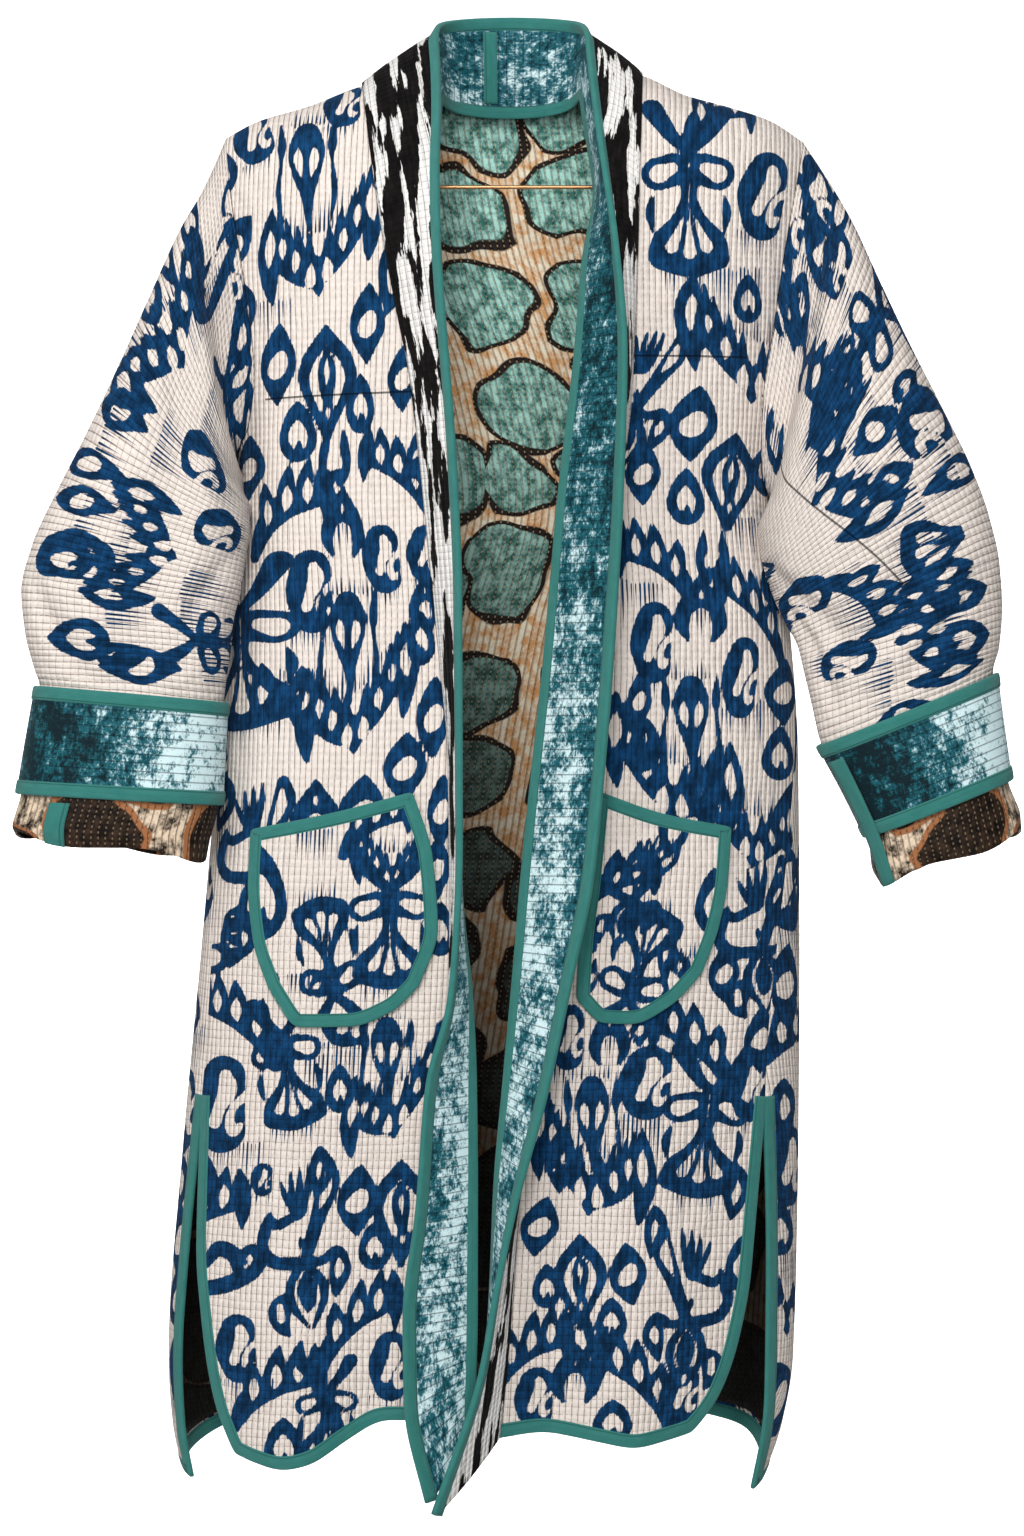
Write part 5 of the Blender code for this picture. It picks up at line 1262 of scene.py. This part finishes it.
# ================================================================ neck strip
# A short upright length of the same tape, sewn flat over the join in the velvet facing, a
# little to one side of the back of the neck.
STRIP_LIFT, STRIP_THICK, STRIP_SHARE = 2.8, 1.6, 0.38
middle_neck = len(left_seam) + int(len(neck) * STRIP_SHARE)
top, foot = free[middle_neck], inner[middle_neck]
down, lift = unit(foot - top), -side[middle_neck]
marks = np.linspace(TAPE + 0.5, np.linalg.norm(foot - top) - TAPE - 0.5, 24)
bend = lift * FACING_BOW * 2 * (marks / marks.max() * (1 - marks / marks.max()))[:, None] - lift
path = top + lift * STRIP_LIFT + down * marks[:, None] + bend - np.cross(down, lift) * TAPE / 2
join_tape = tape("neck_tape", path, np.tile(np.cross(down, lift), (24, 1)),
                 np.tile(lift, (24, 1)), "neck_strip", thick=STRIP_THICK)

# ================================================================ patch pockets
# Round-bottomed patches of the same quilted cotton, laid on the fronts, bound all round with
# tape and sewn down through it.
POCKETS = {
    # clearance, then x by z or z by x along the top, the side edges and the bottom
    "left": (1.4, ((-204, -500), (-141, -487), (-81, -471)),
             ((-500, -204), (-543, -206), (-585, -202), (-622, -190)),
             ((-471, -81), (-520, -66), (-575, -62), (-618, -76)),
             ((-190, -622), (-168, -650), (-128, -649), (-96, -637), (-76, -618))),
    "right": (0.9, ((57, -470), (109, -488), (160, -498)),
              ((-470, 57), (-540, 50), (-590, 44), (-628, 42)),
              ((-498, 160), (-540, 157), (-575, 150), (-610, 137)),
              ((42, -628), (62, -646), (84, -647), (114, -633), (137, -610))),
}
# places across from the front's middle and down, width, height, and turn if any
POCKET_MOTIFS = {
    "left": {
        "ring": ((-186, 551, 1.58, 1.58, 3),),
        "fringe": ((-145, 515, 1.01, 0.91, 3), (-152, 622, 0.64, 0.71, 3)),
        "crown": ((-84, 543, 0.63, 0.63, 4),),
        "lily": ((-85, 546, 1.02, 0.86, 2), (-124, 625, 0.82, 0.87, -167)),
        "comma": ((-181, 630, 0.91, 0.81, 3), (-55, 636, 0.81, 0.61, 3)),
        "diamond": ((-138, 618, 0.42, 0.3, 3),),
        "arch": ((-95, 493, 0.82, 0.71),),
    },
    "right": {
        "arch": ((87, 539, 1.02, 0.76),),
        "fringe": ((113, 524, 1.04, 0.91, 2),),
        "lily": ((99, 629, 0.88, 0.84, 165),),
        "ring": ((162, 556, 1.14, 1.12, 2),),
        "hand": ((97, 553, 0.73, 0.7, -23),),
        "crown": ((147, 618, 0.53, 0.51, -1),),
        "comma": ((61, 598, 0.81, 0.91, 3),),
        "petal": ((127, 500, 1.26, 0.91, 2),),
    },
}
POCKET_ROWS, POCKET_COLUMNS, QUILT_RISE = 68, 60, 0.7


def along_edge(line, count):
    """Points spread evenly in the line's first value, with its second one smooth."""
    first = np.linspace(line[0][0], line[-1][0], count)
    return together(first, smooth1(line, first))


def patch(top, first, second, low):
    """Plan of a patch from its four edges: the two blends between facing edges, less the
    blend between its corners."""
    v, u = np.linspace(0, 1, len(first))[:, None, None], np.linspace(0, 1, len(top))[None, :, None]
    ends = ((1 - u) * (1 - v) * top[0] + u * (1 - v) * top[-1] + (1 - u) * v * low[0]
            + u * v * low[-1])
    return ((1 - v) * top[None] + v * low[None] + (1 - u) * first[:, None]
            + u * second[:, None] - ends)


def border(grid):
    """Points round a grid's border, from its first corner."""
    return np.concatenate([grid[0, :-1], grid[:-1, -1], grid[-1, :0:-1], grid[:0:-1, 0]])


for name, (clear, top, first, second, low) in POCKETS.items():
    plan = patch(along_edge(top, POCKET_COLUMNS), along_edge(first, POCKET_ROWS)[:, ::-1],
                 along_edge(second, POCKET_ROWS)[:, ::-1], along_edge(low, POCKET_COLUMNS))
    angles = body_angle(plan[..., 0].ravel(), plan[..., 1].ravel()).reshape(plan.shape[:2])
    inward = body_inward(angles, plan[..., 1])
    middle = body_point(angles, plan[..., 1]) - inward * (QUILT_RISE + clear + CLOTH / 2)
    place = body_cloth(angles, plan[..., 1])
    cut = slice(1, -1)
    made = cloth_piece(f"{name}_pocket", (middle - inward * CLOTH / 2)[cut, cut],
                       f"pocket_{name}", IKAT, place[cut, cut],
                       -inward[cut, cut], dyed(place[cut, cut], POCKET_MOTIFS[name]), CLOTH)
    rim, lift = eased(border(middle), 3, closed=True), -border(inward)
    ahead = unit(np.roll(rim, -1, axis=0) - np.roll(rim, 1, axis=0))
    over = unit(np.cross(ahead, lift))
    over *= np.sign(np.sum(over * (middle.mean(axis=(0, 1)) - rim), axis=1, keepdims=True))
    rim_tape = tape(f"{name}_pocket_tape", rim, over, lift, f"pocket_binding_{name}",
                    thick=FLAT_THICK, closed=True)

# ================================================================ cuff tabs
# The loose end of the tape that closes each cuff: on the left it hangs over the turned
# lining, and on the right it runs down the cuff and over its lower binding.
TABS = {
    # columns of twenty round the ring, what it lies on, rows down that, clearance
    "left": ((3.0, 3.75), "end", (0.4, 1.0), 0.6),
    "right": ((8.0, 9.0), "cuff", (0.2, 1.0), 0.5),
}
TAB_THICK, TAB_STEP = 1.6, 2.5
for name, (columns, bed, rows, clear) in TABS.items():
    cuff, end = TAB_RINGS[name]
    around = np.rint(np.linspace(*columns, 9) / 20 * cuff.shape[1]).astype(int)
    rings, gap = (cuff, clear + (TAPE_THICK - CUFF) / 2) if bed == "cuff" else (end, clear)
    down = np.rint(np.linspace(*rows, 20) * (len(rings) - 1)).astype(int)
    under = (rings - tube_inward(rings) * gap)[down][:, around]
    if bed == "cuff":
        tip = (end - tube_inward(end) * clear)[-1:, around]
        share = np.linspace(0.15, 1, 8)[:, None, None]
        under = np.concatenate([under, under[-1:] + (tip - under[-1:]) * share])
    under = eased(under, 6)
    face = grid_normal(under)
    face *= np.sign(np.sum(face * (under - cuff.mean(axis=(0, 1)))))
    place = together(np.arange(len(under))[:, None] * TAB_STEP,
                     np.linspace(0, TAPE, under.shape[1]))
    tab = cloth_piece(f"{name}_tab", under + face * TAB_THICK, f"cuff_tab_{name}",
                      TAPE_CLOTH, place, face, thick=TAB_THICK)

# ================================================================ hanger bar
# A thin bent wire of bright copper-coloured metal: straight across the neck, its ends
# turned up and out to carry the fronts and the back under the shoulders.
WIRE = new_material("copper wire")
dress(WIRE, {"Base Color": srgb("B98A62"), "Metallic": 1.0, "Roughness": 0.28})
BAR_RADIUS, BAR_DROP, BAR_SIDES = 1.5, 6.1, 16
BEND = ((3, 0.88), (5, 0.6), (4, 0.35), (0, 0.15), (-4, 0.05), (-10, 0.0))   # out, share of rise
STRAIGHT = (-180, 172)
route = []
for sign, out, start in ((-1, -196, -120), (1, 190, 100)):
    under_fold = np.linspace(start, out, 12)
    arm = together(under_fold, smooth1(SHOULDER, under_fold) - BAR_DROP)
    route.append([*arm, *[(out + sign * way, arm[-1, 1] * share) for way, share in BEND]])
line = np.array(route[0] + [(x, 0.0) for x in np.linspace(*STRAIGHT, 60)] + route[1][::-1])
line = together(line[:, 0], 0.0, line[:, 1])
along = unit(np.gradient(line, axis=0))
turn = np.linspace(0, 2 * np.pi, BAR_SIDES + 1)[None, :, None]
level = np.array([0.0, 1.0, 0.0])
reach = BAR_RADIUS * (np.cos(turn) * level + np.sin(turn) * np.cross(along, level)[:, None])
reach = np.pad(reach, ((1, 1), (0, 0), (0, 0)))              # closes both ends
middle = np.pad(line, ((1, 1), (0, 0)), "edge")[:, None]
cloth_piece("hanger_wire", middle + reach, "hanger_bar", WIRE,
            np.zeros((*reach.shape[:2], 2)), reach)

# ================================================================ light and camera
# The robe hangs over one sheet of white paper that is floor, cove and wall. Soft boxes light
# it from the front and above, two more light the paper, and the camera stands square on.
LIGHTS = {
    # place, width and height, watts, colour, what it looks at
    "key": ((-0.45, -2.9, 1.1), (0.8, 0.8), 55, (1, 0.99, 0.97), (0, 0, -0.4)),
    "side": ((-1.9, -2.0, 0.2), (1.0, 1.8), 20, (1, 0.99, 0.97), (0, 0, -0.45)),
    "fill": ((0.5, -3.1, -0.1), (0.9, 0.9), 18, (0.98, 0.99, 1), (0, 0, -0.4)),
    "top": ((0, -0.9, 1.6), (1.6, 1.0), 8, (1, 1, 1), (0, 0, -0.3)),
    "wall_left": ((-1.7, 4.2, -0.4), (1.4, 3.2), 105, (1, 1, 1), (0.3, 6.2, -0.5)),
    "wall_right": ((1.7, 4.2, -0.4), (1.4, 3.2), 105, (1, 1, 1), (-0.3, 6.2, -0.5)),
}
for name, (place, size, watts, colour, at) in LIGHTS.items():
    lamp = bpy.data.lights.new(name, "AREA")
    lamp.shape, lamp.size, lamp.size_y = "RECTANGLE", *size
    lamp.energy, lamp.color = watts, colour
    made = bpy.data.objects.new(name, lamp)
    made.location = place
    made.rotation_euler = (Vector(at) - Vector(place)).to_track_quat("-Z", "Y").to_euler()
    scene.collection.objects.link(made)
ROOM_LIGHT = 0.24              # strength of the even light from all round
world = bpy.data.worlds.new("studio")
world.use_nodes = True
fill(world.node_tree, world.node_tree.nodes["Background"].inputs,
     {"Color": (1, 1, 1, 1), "Strength": ROOM_LIGHT})
scene.world = world

PAPER_WIDE, PAPER_NEAR, WALL, WALL_TALL = 5.0, -5.0, 6.2, 7.0       # metres
COVE, FLOOR_DROP = 0.8, 2.5
turn = np.linspace(0, np.pi / 2, 24)
cove = together(WALL - COVE + COVE * np.sin(turn), COVE - COVE * np.cos(turn))
line = np.concatenate([[(PAPER_NEAR, 0.0)], cove, [(WALL, WALL_TALL)]])
paper = together(np.array([-PAPER_WIDE, PAPER_WIDE])[:, None], line[:, 0],
                 line[:, 1] - FLOOR_DROP)
mesh = grid_mesh("studio_paper", paper / MM)
WHITE = new_material("matt white paper")
dress(WHITE, {"Base Color": srgb("F7F7F7"), "Roughness": 1.0})
mesh.materials.append(WHITE)
stage = bpy.data.objects.new("studio_paper", mesh)
scene.collection.objects.link(stage)

CAMERA_PLACE = (-0.00624, -2.8, -0.4532)                # metres
FOCAL, SENSOR_TALL = 84.1, 36.0                         # millimetres
lens = bpy.data.cameras.new("camera")
lens.lens_unit, lens.sensor_fit, lens.sensor_height = "MILLIMETERS", "VERTICAL", SENSOR_TALL
lens.lens = FOCAL
camera = bpy.data.objects.new("camera", lens)
camera.location = CAMERA_PLACE
camera.rotation_euler = (math.pi / 2, 0, 0)
scene.collection.objects.link(camera)
scene.camera = camera
scene.view_settings.view_transform = "Standard"
